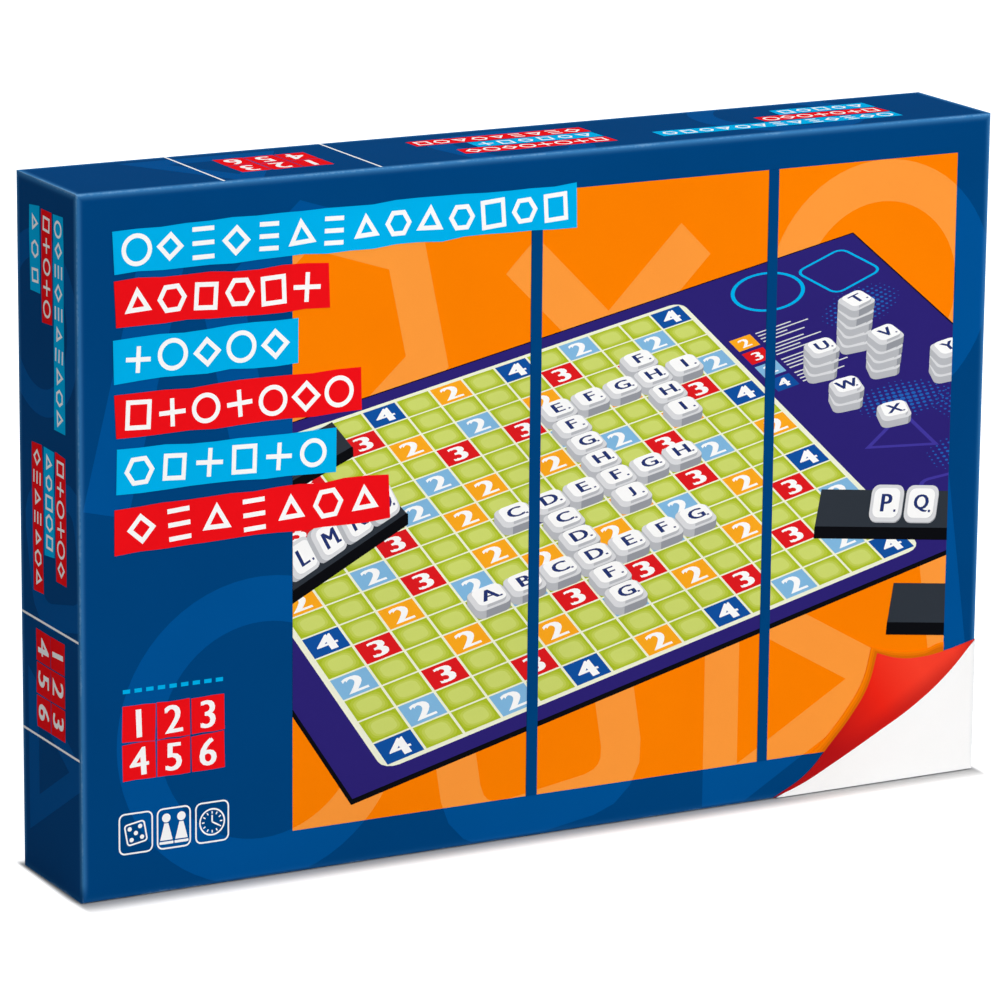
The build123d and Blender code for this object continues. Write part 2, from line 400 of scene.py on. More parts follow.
@dataclass(frozen=True)
class FibreStock:
    """Bare pulp stock: grey board or kraft tape."""

    name: str
    colour: str
    scale: float
    shades: Pair
    roughness: Pair
    relief: float
    depth_m: float
    specks: float = 0.0

    def make(self, effects: Effects) -> Material:
        """Builds the material.

        Args:
            effects: The shared effects.

        Returns:
            The material.
        """
        draft = Draft(self.name)
        fibres = effects.fibres.use(draft.bench, Scale=self.scale)
        pulp = tint(self.colour)
        base = draft.shades(fibres["Height"], pulp, *self.shades)
        if self.specks > 0:
            dark = scaled(pulp, 0.45)
            base = draft.bench.mix(draft.bench.times(fibres["Specks"], self.specks), base, dark)
        draft.set(Base_Color=base, Roughness=draft.bench.remap(fibres["Height"], 0.2, 0.8, *self.roughness))
        draft.relief(fibres["Height"], self.relief, self.depth_m)
        return draft.material


GREY_BOARD = FibreStock("Grey board", "#9A958C", 620.0, (0.78, 1.2), (0.82, 0.94), 0.5, 0.0002, 0.45)
GUMMED_TAPE = FibreStock("Gummed stay tape", "#B08B5A", 900.0, (0.8, 1.15), (0.55, 0.7), 0.3, 0.0001)


@dataclass(frozen=True)
class MouldedPlastic:
    """Injection-moulded or vacuum-formed plastic."""

    name: str
    colour: str
    roughness: float
    skin_strength: float = 0.12
    skin_scale: float = 2200.0
    glow: float = 0.0
    glow_depth_m: float = 0.002
    swing: float = 0.05
    scuffing: float = 0.1

    def make(self, effects: Effects) -> Material:
        """Builds the material.

        Args:
            effects: The shared effects.

        Returns:
            The material.
        """
        draft = Draft(self.name)
        bench = draft.bench
        skin = effects.moulded_skin.use(bench, Scale=self.skin_scale)
        resin = tint(self.colour)
        scuffs = bench.times(skin["Scuffs"], self.scuffing)
        base = draft.shades(skin["Gloss"], resin, 1 - self.swing, 1 + self.swing)
        gloss = bench.remap(skin["Gloss"], 0.3, 0.7, self.roughness - 0.06, self.roughness + 0.06)
        draft.set(Base_Color=bench.mix(scuffs, base, scaled(resin, 1.4)), Roughness=bench.plus(gloss, scuffs))
        draft.set(Subsurface_Weight=self.glow, Subsurface_Scale=self.glow_depth_m)
        draft.relief(skin["Height"], self.skin_strength, depth_m=0.00005)
        return draft.material


RACK_PLASTIC = MouldedPlastic("Black rack plastic", "#17181B", roughness=0.34)
TILE_PLASTIC = MouldedPlastic(
    "White tile plastic", "#F2F1EC", roughness=0.3, skin_strength=0.05, glow=0.1, swing=0.02, scuffing=0.05,
)
TRAY_PLASTIC = MouldedPlastic(
    "Formed tray plastic", "#DADDE0", roughness=0.32, skin_strength=0.04, swing=0.03, scuffing=0.05,
)


@dataclass(frozen=True)
class RolledPaper:
    """Glossy red paper of the printed curl, shaded along its roll and at its crease."""

    name: str = "Ink of the paper curl"
    shades: tuple[tuple[float, str], ...] = (
        (0.0, "#A31216"), (0.3, "#B31214"), (0.55, "#EE2414"),
        (0.75, "#FB402B"), (0.9, "#F8402C"), (1.0, "#DC2820"),
    )
    crease: str = "#B01418"
    crease_share: float = 0.6
    mottling: float = 0.12
    start_m: Triple = (0.0995, 0.0, 0.0)
    along: Triple = (0.862, 0.0, 0.507)
    length_m: float = 0.1045
    crease_m: float = 0.006

    def measure(self, bench: NodeBench, direction: Triple, length_m: float) -> Socket:
        """Distance from the roll's start along a direction, as a share of a length in metres."""
        away = bench.vector("SUBTRACT", bench.place(), self.start_m)
        return bench.math("DIVIDE", bench.measure("DOT_PRODUCT", away, direction), length_m)

    def make(self, effects: Effects) -> Material:
        """Builds the material.

        Args:
            effects: The shared effects.

        Returns:
            The material.
        """
        draft = Draft(self.name)
        bench = draft.bench
        grain = effects.paper_grain.use(bench)
        ramp = bench.add("ValToRGB", self.measure(bench, self.along, self.length_m))
        stops = ramp.color_ramp.elements
        for stop, (place, shade) in zip(list(stops), (self.shades[0], self.shades[-1]), strict=True):
            stop.position = place
            stop.color = tint(shade)
        for place, shade in self.shades[1:-1]:
            stops.new(place).color = tint(shade)
        from_crease = self.measure(bench, (-self.along[2], 0.0, self.along[0]), self.crease_m)
        near_crease = bench.remap(from_crease, -1.0, 0.5, self.crease_share, 0.0)
        base = bench.mix(near_crease, ramp.outputs[0], tint(self.crease))
        mottled = bench.remap(grain["Tone"], 0.0, 1.0, 0.0, self.mottling)
        draft.set(Base_Color=bench.mix(mottled, base, tint(self.shades[0][1])))
        draft.set(Roughness=bench.remap(grain["Tone"], 0.2, 0.8, 0.38, 0.47))
        draft.set(Coat_Weight=0.02, Specular_IOR_Level=0.0)
        draft.relief(grain["Height"], strength=0.16, depth_m=0.00004)
        return draft.material


class Ink(Enum):
    """The inks of every print, each with its written colour."""

    BLUE = "#00417A"
    TONE = "#004F92"
    ORANGE = "#FF7F00"
    LIGHT_ORANGE = "#FF983A"
    WARM = "#F57E03"
    WARMER = "#E97405"
    SHADE = "#D46907"
    CYAN = "#00AEE8"
    RED = "#EC1018"
    WHITE = "#FCFCFB"
    VIOLET = "#2C2272"
    INDIGO = "#40379A"
    BLACK = "#0B0C10"
    GREEN = "#A9BC27"
    FRESH_GREEN = "#B5C53F"
    SOFT_GREEN = "#C0CD57"
    PALE_GREEN = "#CAD66D"
    CREAM = "#EEF0D8"
    AMBER = "#FBA71F"
    SKY = "#7FB5DC"
    DEEP = "#124F9D"
    SCARLET = "#DB1B20"
    AZURE = "#215FB4"
    SILVER = "#D7D8DB"
    STEEL = "#B5B7BC"
    SLATE = "#92959C"
    NAVY = "#24336C"
    GRAPHITE = "#2F353D"
    CURL = "curl"


@dataclass
class InkShelf:
    """Keeps a finish for every ink on every box with worn edges and a painted edge highlight, made when it is
    first asked for.
    """

    effects: Effects
    made: dict[tuple[Ink, WearAndSheenBox | None], Material] = field(default_factory=dict)

    def finish(self, ink: Ink, wear_and_sheen: WearAndSheenBox | None) -> Material:
        """The finish of an ink.

        Args:
            ink: The ink.
            wear_and_sheen: The box whose edges wear through the print and carry a painted highlight, if any.

        Returns:
            The material.
        """
        key = (ink, wear_and_sheen)
        if key not in self.made:
            paper = PrintedPaper(f"Varnished {ink.name.lower().replace('_', ' ')} ink", ink.value, wear_and_sheen)
            # White ink gets its own colours for the worn flecks and the painted edge highlight.
            if ink is Ink.WHITE:
                paper = replace(paper, worn="#DFE2E5", fold_sheen_colour="#EDF0F2")
            self.made[key] = (RolledPaper() if ink is Ink.CURL else paper).make(self.effects)
        return self.made[key]


def spot(across: float, up: float, turn: float = 0.0, stretch: float = 1.0) -> Matrix:
    """A place on a sheet, turned anticlockwise by degrees and stretched by a factor."""
    turned = Matrix.Translation((across, up, 0.0)) @ Matrix.Rotation(math.radians(turn), 4, "Z")
    return turned @ Matrix.Scale(stretch, 4)


def tipped(degrees: float) -> Matrix:
    """A turn about the axis that points right, which tips a sheet back."""
    return Matrix.Rotation(math.radians(degrees), 4, "X")


def moved(shape: Shape, place: Matrix) -> Shape:
    """Moves a whole shape by a matrix and hands it back."""
    bmesh.ops.transform(shape, matrix=place, verts=shape.verts)
    return shape


def raise_faces(shape: Shape, faces: list[Face], lift: Vector) -> list[Face]:
    """Extrudes faces and keeps the old ones, so that the shape is closed.

    Args:
        shape: The shape.
        faces: The faces.
        lift: The way that the new faces are moved.

    Returns:
        The new faces.
    """
    raised = bmesh.ops.extrude_face_region(shape, geom=faces, use_keep_orig=True)["geom"]
    verts = [part for part in raised if isinstance(part, bmesh.types.BMVert)]
    bmesh.ops.translate(shape, vec=lift, verts=verts)
    bmesh.ops.recalc_face_normals(shape, faces=shape.faces)
    return [part for part in raised if isinstance(part, Face)]


def cut(shape: Shape, point: Vector, normal: Vector, reach: float = 0.0, clear: bool = False) -> None:
    """Cuts through a whole shape with a plane.

    Args:
        shape: The shape.
        point: A point of the plane.
        normal: The plane's normal.
        reach: Distance at which a vertex counts as on the plane.
        clear: Whether what lies on the normal's side is taken away.
    """
    bmesh.ops.bisect_plane(
        shape, geom=shape.verts[:] + shape.edges[:] + shape.faces[:], dist=reach, plane_co=point,
        plane_no=normal, clear_outer=clear,
    )


def clip(shape: Shape, low: Pair, high: Pair) -> Shape:
    """Cuts a flat shape off at a rectangle.

    Args:
        shape: The shape, which is changed.
        low: The rectangle's lower left corner.
        high: Its upper right corner.

    Returns:
        The same shape.
    """
    for axis, normal in enumerate((Vector((1, 0, 0)), Vector((0, 1, 0)))):
        cut(shape, normal * low[axis], -normal, reach=1e-6, clear=True)
        cut(shape, normal * high[axis], normal, reach=1e-6, clear=True)
    return shape


def round_off(
    shape: Shape, parts: list[object], radius: float, affect: str, segments: int, clamp: bool = False,
) -> None:
    """Bevels corners or edges.

    Args:
        shape: The shape.
        parts: The vertices or edges.
        radius: Width of the rounding.
        affect: VERTICES or EDGES.
        segments: Number of facets across the rounding.
        clamp: Whether roundings that would meet are narrowed.
    """
    bmesh.ops.bevel(
        shape, geom=parts, offset=radius, offset_type="OFFSET", affect=affect, segments=segments, profile=0.5,
        material=-1, clamp_overlap=clamp,
    )


def sharp_edges(shape: Shape, sharpest: float) -> list[bmesh.types.BMEdge]:
    """The edges between two faces that turn by more than an angle in radians."""
    return [edge for edge in shape.edges if edge.calc_face_angle(0.0) > sharpest]


def soften(shape: Shape, edge: float) -> None:
    """Rounds a closed shape's outward edges by a width in the shape's own unit."""
    outward = [sharp for sharp in sharp_edges(shape, 0.6) if sharp.is_convex]
    round_off(shape, outward, edge, "EDGES", segments=2, clamp=True)


class Shapes:
    """Flat shapes in millimetres, face up in the XY plane about the origin, each a new bmesh."""

    glyphs: dict[str, bpy.types.Mesh] = {}

    @staticmethod
    def rectangle(width: float, height: float, corner: float = 0.0, parts: int = 1) -> Shape:
        """A rectangle.

        Args:
            width: Its width.
            height: Its height.
            corner: Radius of its rounded corners.
            parts: Number of parts that its length is cut in.

        Returns:
            The shape.
        """
        shape = bmesh.new()
        bmesh.ops.create_grid(shape, x_segments=parts, y_segments=1, size=0.5)
        bmesh.ops.scale(shape, vec=(width, height, 1.0), verts=shape.verts)
        if corner > 0:
            round_off(shape, shape.verts[:], corner, "VERTICES", segments=4)
        return shape

    @staticmethod
    def disc(radius: float, sides: int = 32) -> Shape:
        """A disc or a regular polygon.

        Args:
            radius: Distance of its corners from its middle.
            sides: Number of its sides.

        Returns:
            The shape.
        """
        shape = bmesh.new()
        bmesh.ops.create_circle(shape, cap_ends=True, radius=radius, segments=sides)
        return shape

    @staticmethod
    def outline(shape: Shape, stroke: float) -> Shape:
        """Keeps only a band along a shape's border.

        Args:
            shape: The shape, which is changed.
            stroke: The band's width.

        Returns:
            The same shape.
        """
        inner = shape.faces[:]
        bmesh.ops.inset_region(shape, faces=inner, thickness=stroke, use_boundary=True, use_even_offset=True)
        bmesh.ops.delete(shape, geom=inner, context="FACES")
        return shape

    @classmethod
    def ring(cls, radius: float, stroke: float, sides: int) -> Shape:
        """The outline of a disc or a regular polygon."""
        return cls.outline(cls.disc(radius, sides), stroke)

    @classmethod
    def border(cls, width: float, height: float, stroke: float, corner: float = 0.0) -> Shape:
        """The outline of a rectangle."""
        return cls.outline(cls.rectangle(width, height, corner), stroke)

    @staticmethod
    def halftone(width: float, height: float, pitch: float) -> Shape:
        """An oval patch of dots that grow smaller away from its middle.

        Args:
            width: The oval's width.
            height: Its height.
            pitch: Distance between neighbouring dots.

        Returns:
            The shape.
        """
        patch = bmesh.new()
        columns, rows = int(width / pitch / 2), int(height / pitch / 2)
        for column in range(-columns, columns + 1):
            for row in range(-rows, rows + 1):
                share = 1.0 - math.hypot(2 * column * pitch / width, 2 * row * pitch / height)
                if share > 0.03:
                    bmesh.ops.create_circle(
                        patch, cap_ends=True, segments=6, radius=pitch * 0.48 * math.sqrt(share),
                        matrix=spot(column * pitch, row * pitch),
                    )
        return patch

    @classmethod
    def plus(cls, size: float, arm: float) -> Shape:
        """An upright cross.

        Args:
            size: Its width and height.
            arm: Its arms' width.

        Returns:
            The shape.
        """
        shape = cls.rectangle(size, size)
        for normal in (Vector((1, 0, 0)), Vector((0, 1, 0))):
            for side in (-1, 1):
                cut(shape, normal * side * arm / 2, normal)
        corners = [f for f in shape.faces if all(abs(part) > arm / 2 for part in f.calc_center_median()[:2])]
        bmesh.ops.delete(shape, geom=corners, context="FACES")
        return shape

    @classmethod
    def glyph(cls, sign: str, height: float) -> Shape:
        """A capital letter or digit.

        Args:
            sign: The letter or digit.
            height: Its height.

        Returns:
            The shape.
        """
        if sign not in cls.glyphs:
            curve = bpy.data.curves.new(f"glyph {sign}", "FONT")
            curve.body = sign
            curve.resolution_u = 3
            holder = bpy.data.objects.new(f"glyph {sign}", curve)
            cls.glyphs[sign] = bpy.data.meshes.new_from_object(holder)
            bpy.data.objects.remove(holder)
            bpy.data.curves.remove(curve)
        shape = bmesh.new()
        shape.from_mesh(cls.glyphs[sign])
        bmesh.ops.remove_doubles(shape, verts=shape.verts, dist=1e-5)
        low = Vector([min(v.co[axis] for v in shape.verts) for axis in range(3)])
        high = Vector([max(v.co[axis] for v in shape.verts) for axis in range(3)])
        bmesh.ops.translate(shape, vec=-(low + high) / 2, verts=shape.verts)
        grow = height / (high.y - low.y)
        bmesh.ops.scale(shape, vec=(grow, grow, 1.0), verts=shape.verts)
        return shape

    @staticmethod
    def curve(points: tuple[Pair, ...], sharp: tuple[int, ...] | None = None) -> Shape:
        """A closed flat curve, filled, in its own place.

        Args:
            points: The curve's points.
            sharp: Places of its sharp corners; None makes every point one.

        Returns:
            The shape.
        """
        data = bpy.data.curves.new("flat curve", "CURVE")
        data.dimensions = "2D"
        data.fill_mode = "BOTH"
        data.resolution_u = 8
        spline = data.splines.new("BEZIER")
        spline.bezier_points.add(len(points) - 1)
        for order, (knot, (across, up)) in enumerate(zip(spline.bezier_points, points, strict=True)):
            knot.co = (across, up, 0.0)
            handle = "VECTOR" if sharp is None or order in sharp else "AUTO"
            knot.handle_left_type = handle
            knot.handle_right_type = handle
        spline.use_cyclic_u = True
        holder = bpy.data.objects.new("flat curve", data)
        mesh = bpy.data.meshes.new_from_object(holder)
        shape = bmesh.new()
        shape.from_mesh(mesh)
        bpy.data.objects.remove(holder)
        bpy.data.meshes.remove(mesh)
        return shape


def finish_piece(name: str, shape: Shape, body: str, material: Material) -> bpy.types.Object:
    """Makes a piece from a bmesh that already lies in the frame.

    Args:
        name: The piece's name.
        shape: Its shape in metres, which is freed.
        body: The CAD body that it rides on.
        material: Its finish.

    Returns:
        The piece.
    """
    mesh = bpy.data.meshes.new(name)
    shape.to_mesh(mesh)
    shape.free()
    piece = bpy.data.objects.new(name, mesh)
    bpy.context.scene.collection.objects.link(piece)
    mesh.materials.append(material)
    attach(piece, body)
    log.info("%s: %d faces on %s", name, len(mesh.polygons), body)
    return piece


def stand_for(piece: bpy.types.Object, node: str, crease: float) -> None:
    """Lets a piece stand for a CAD node, smooth-shaded.

    Args:
        piece: The piece.
        node: The node that it replaces.
        crease: Angle in degrees past which an edge stays sharp.
    """
    piece.data.shade_smooth()
    piece.data.set_sharp_from_angle(angle=math.radians(crease))
    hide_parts(node)


class Way(Enum):
    """The frame's directions; the lid's face looks near."""

    RIGHT = (1, 0, 0)
    LEFT = (-1, 0, 0)
    FAR = (0, 1, 0)
    NEAR = (0, -1, 0)
    UP = (0, 0, 1)
    DOWN = (0, 0, -1)


def sheet_place(origin: Triple, right: Way, up: Way) -> Matrix:
    """The place of a flat sheet in the frame, from the sheet's millimetres to the frame's metres."""
    turn = Matrix((right.value, up.value, Vector(right.value).cross(Vector(up.value)))).transposed()
    return Matrix.Scale(MM, 4) @ Matrix.Translation(origin) @ turn.to_4x4()


@dataclass
class Press:
    """Prints thin closed layers of ink for one body and gathers them by ink, a piece for each."""

    name: str
    body: str
    slot: str
    # The box whose edges get worn flecks and a painted highlight, if any.
    wear_and_sheen: WearAndSheenBox | None = None
    layer_height: float = 0.02
    inks: dict[Ink, Shape] = field(default_factory=dict)

    def __post_init__(self) -> None:
        """Makes the mesh that carries one shape into another."""
        self.carrier = bpy.data.meshes.new(f"{self.name} carrier")

    def join(self, whole: Shape, part: Shape) -> None:
        """Adds a copy of one shape to another."""
        part.to_mesh(self.carrier)
        whole.from_mesh(self.carrier)

    def lay(self, place: Matrix, ink: Ink, shape: Shape, layer: float) -> None:
        """Raises a flat shape to its layer and adds it to its ink.

        Args:
            place: Place of the sheet in the frame, from millimetres to metres.
            ink: The ink.
            shape: The shape on the sheet, which is freed.
            layer: Number of its layer.
        """
        if shape.faces:
            for vert in shape.verts:
                vert.co.z = 0.0
            raise_faces(shape, shape.faces[:], Vector((0.0, 0.0, layer * self.layer_height)))
            if ink not in self.inks:
                self.inks[ink] = bmesh.new()
            self.join(self.inks[ink], moved(shape, place))
        shape.free()

    def finish(self, shelf: InkShelf) -> None:
        """Makes one piece for each ink."""
        for ink, shape in self.inks.items():
            material = shelf.finish(ink, self.wear_and_sheen)
            finish_piece(f"{self.name}_{ink.name.lower()}", shape, self.body, material)
        bpy.data.meshes.remove(self.carrier)


Put = Callable[[Ink, Shape, Matrix, float], None]


@dataclass(frozen=True)
class Sheet:
    """A flat face that a press prints on, with axes of its own and a window that cuts prints off."""

    press: Press
    place: Matrix
    axes: Matrix = field(default_factory=Matrix)
    window: tuple[Pair, Pair] | None = None

    def turned(self, axes: Matrix) -> "Sheet":
        """The same face with new axes, given in the present ones."""
        return replace(self, axes=self.axes @ axes)

    def within(self, low: Pair, high: Pair) -> "Sheet":
        """The same face with a window, given in the face's first axes."""
        return replace(self, window=(low, high))

    def put(self, ink: Ink, shape: Shape, place: Matrix, layer: float) -> None:
        """Prints a shape.

        Args:
            ink: The ink.
            shape: The shape, which is freed.
            place: Its place in the sheet's axes.
            layer: Its layer.
        """
        moved(shape, self.axes @ place)
        if self.window is not None:
            clip(shape, *self.window)
        self.press.lay(self.place, ink, shape, layer)


@dataclass(frozen=True)
class Mark:
    """A letter or digit that is printed twice, a little aside, so that it is bold."""

    sign: str
    height: float
    aside: float

    def stamp(self, put: Put, ink: Ink, place: Matrix, layer: float, step: float = 0.3) -> None:
        """Prints the mark on a layer and, a step higher, a second time."""
        for order, side in enumerate((-self.aside, self.aside)):
            put(ink, Shapes.glyph(self.sign, self.height), place @ spot(side, 0.0), layer + step * order)


@dataclass(frozen=True)
class TableView:
    """The view in which the lid's picture shows a table, in which 1 is a cell of the board."""

    azimuth: float = -0.416
    elevation: float = 0.547
    distance: float = 78.3
    focal: float = 1223.0
    centre: Pair = (-0.1, 125.7)
    target: Triple = (7.5, 7.5, 0.0)

    def axes(self) -> tuple[Vector, Vector, Vector, Vector]:
        """Sets up the eye.

        Returns:
            The eye and its right, up and back directions.
        """
        flat = math.cos(self.elevation)
        away = (math.sin(self.azimuth) * flat, -math.cos(self.azimuth) * flat, math.sin(self.elevation))
        back = Vector(away)
        right = (-back).cross(Vector((0, 0, 1))).normalized()
        return Vector(self.target) + back * self.distance, right, right.cross(-back), back

    def project(self, shape: Shape) -> None:
        """Moves a shape's vertices from the table to the sheet.

        Args:
            shape: The shape.
        """
        eye, right, up, back = self.axes()
        for vert in shape.verts:
            ray = vert.co - eye
            depth = -ray.dot(back)
            across = self.centre[0] + self.focal * ray.dot(right) / depth
            vert.co = Vector((across, self.centre[1] + self.focal * ray.dot(up) / depth, 0.0))

    def sees(self, face: Face) -> bool:
        """Whether a face on the table looks towards the eye."""
        return (self.axes()[0] - face.calc_center_median()).dot(face.normal) > 1e-6


class Cell(Enum):
    """The kinds of cell on the game board, each with its ink and number."""

    PLAIN = (Ink.GREEN, "")
    DOUBLE_SKY = (Ink.SKY, "2")
    DOUBLE_AMBER = (Ink.AMBER, "2")
    TRIPLE = (Ink.SCARLET, "3")
    QUADRUPLE = (Ink.DEEP, "4")
    START = (Ink.VIOLET, "")


SPECIAL_CELLS = {
    Cell.QUADRUPLE: {(7, 7), (2, 7)},
    Cell.TRIPLE: {(1, 4), (5, 5), (3, 6)},
    Cell.DOUBLE_SKY: {(0, 5), (4, 7), (2, 3), (6, 6)},
    Cell.DOUBLE_AMBER: {(0, 7), (2, 5), (4, 4), (1, 2)},
    Cell.START: {(0, 0)},
}


@dataclass(frozen=True)
class BoardArt:
    """The game board's printed face, in cells, its long way to the right."""

    cells: int = 15
    left: float = -1.16
    right: float = 21.48
    side: float = 0.7
    gap: float = 0.045
    glow: tuple[tuple[Ink, float, float], ...] = (
        (Ink.FRESH_GREEN, 0.13, 0.2), (Ink.SOFT_GREEN, 0.21, 0.22), (Ink.PALE_GREEN, 0.3, 0.18),
    )
    number: Pair = (0.69, 0.045)
    key: tuple[Cell, ...] = (Cell.DOUBLE_AMBER, Cell.TRIPLE, Cell.DOUBLE_SKY, Cell.QUADRUPLE)
    key_place: Pair = (15.7, 11.9)
    key_pitch: float = 0.86
    key_lines: tuple[float, ...] = (1.2, 1.7, 0.9, 1.4)

    @property
    def size(self) -> Pair:
        """Length and depth of the whole face."""
        return self.right - self.left, self.cells + 2 * self.side

    @property
    def middle(self) -> Matrix:
        """Place of the whole face's middle."""
        return spot((self.right + self.left) / 2, self.cells / 2)

    def kind(self, column: int, row: int) -> Cell:
        """The kind of a cell, which depends only on its distances from the middle."""
        away = tuple(sorted(abs(place - self.cells // 2) for place in (column, row)))
        return next((kind for kind, places in SPECIAL_CELLS.items() if away in places), Cell.PLAIN)

    def cell_faces(self, kind: Cell, margin: float, corner: float = 0.0) -> Shape:
        """The cells of one kind, each shrunk by a margin.

        Args:
            kind: The kind of cell.
            margin: Width taken off along each cell's sides.
            corner: Radius of the shrunken cells' corners.

        Returns:
            The shape.
        """
        shape = bmesh.new()
        bmesh.ops.create_grid(shape, x_segments=self.cells, y_segments=self.cells, size=self.cells / 2)
        moved(shape, spot(self.cells / 2, self.cells / 2))
        wanted = [face for face in shape.faces if self.kind(*map(int, face.calc_center_median()[:2])) is kind]
        bmesh.ops.inset_individual(shape, faces=wanted, thickness=margin)
        kept = set(wanted)
        bmesh.ops.delete(shape, geom=[face for face in shape.faces if face not in kept], context="FACES")
        if corner > 0:
            round_off(shape, shape.verts[:], corner, "VERTICES", segments=3)
        return shape

    def draw(self, put: Put, first: float) -> None:
        """Draws the grid, its numbers and the panel beside it.

        Args:
            put: Prints a shape.
            first: Layer of the lowest ink.
        """
        ground = Shapes.rectangle(self.cells + 0.24, self.cells + 0.24, 0.4)
        put(Ink.CREAM, ground, spot(self.cells / 2, self.cells / 2), first)
        for kind in Cell:
            put(kind.value[0], self.cell_faces(kind, self.gap), Matrix(), first + 1)
        for order, (ink, margin, corner) in enumerate(self.glow):
            put(ink, self.cell_faces(Cell.PLAIN, margin, corner), Matrix(), first + 1.4 + 0.4 * order)
        for column in range(self.cells):
            for row in range(self.cells):
                number = self.kind(column, row).value[1]
                if number:
                    Mark(number, *self.number).stamp(put, Ink.WHITE, spot(column + 0.5, row + 0.5), first + 2)
        put(Ink.WHITE, Shapes.ring(0.34, 0.1, 8), spot(self.cells / 2, self.cells / 2), first + 2)
        self.draw_key(put, first)
        self.draw_panel(put, first)

    def draw_key(self, put: Put, first: float) -> None:
        """Draws the key to the cells, each with ruled lines.

        Args:
            put: Prints a shape.
            first: Layer of the lowest ink.
        """
        for order, kind in enumerate(self.key):
            ink, number = kind.value
            across, up = self.key_place[0], self.key_place[1] - self.key_pitch * order
            put(ink, Shapes.rectangle(0.7, 0.7), spot(across, up), first)
            Mark(number, 0.45, 0.025).stamp(put, Ink.WHITE, spot(across, up), first + 1)
            for line, length in enumerate(self.key_lines):
                beside = spot(16.2 + length / 2, up + 0.27 - 0.18 * line)
                put(Ink.SILVER, Shapes.rectangle(length, 0.06), beside, first)

    def draw_panel(self, put: Put, first: float) -> None:
        """Draws the dotted patches and large outlined shapes of the panel at the board's right.

        Args:
            put: Prints a shape.
            first: Layer of the lowest ink.
        """
        for patch in ((19.6, 11.7, 20.0), (18.2, 6.5, -15.0), (20.1, 5.5, 10.0), (18.7, 3.1, -8.0)):
            put(Ink.AZURE, Shapes.halftone(3.0, 2.0, 0.19), spot(*patch), first)
        large = (
            (Ink.CYAN, Shapes.ring(1.15, 0.12, 40), spot(17.6, 14.1)),
            (Ink.CYAN, Shapes.border(2.0, 2.0, 0.09, 0.35), spot(20.0, 13.9, 14.0)),
            (Ink.INDIGO, Shapes.ring(1.25, 0.12, 3), spot(17.3, 4.9, 90.0)),
            (Ink.INDIGO, Shapes.ring(1.1, 0.12, 6), spot(20.0, 4.4)),
            (Ink.INDIGO, Shapes.ring(1.1, 0.12, 40), spot(19.9, 1.6)),
            (Ink.INDIGO, Shapes.border(1.8, 1.8, 0.12, 0.35), spot(17.2, 1.6, -12.0)),
        )
        for ink, shape, place in large:
            put(ink, shape, place, first + 0.5)


@dataclass(frozen=True)
class Run:
    """A run of tiles on the board, in alphabetical order."""

    column: int
    row: int
    letters: str
    down: bool = False

    def spots(self) -> dict[tuple[int, int], str]:
        """Lays the run out on the board.

        Returns:
            The letter of each cell that it takes.
        """
        across, up = (0, -1) if self.down else (1, 0)
        return {
            (self.column + order * across, self.row + order * up): letter
            for order, letter in enumerate(self.letters)
        }


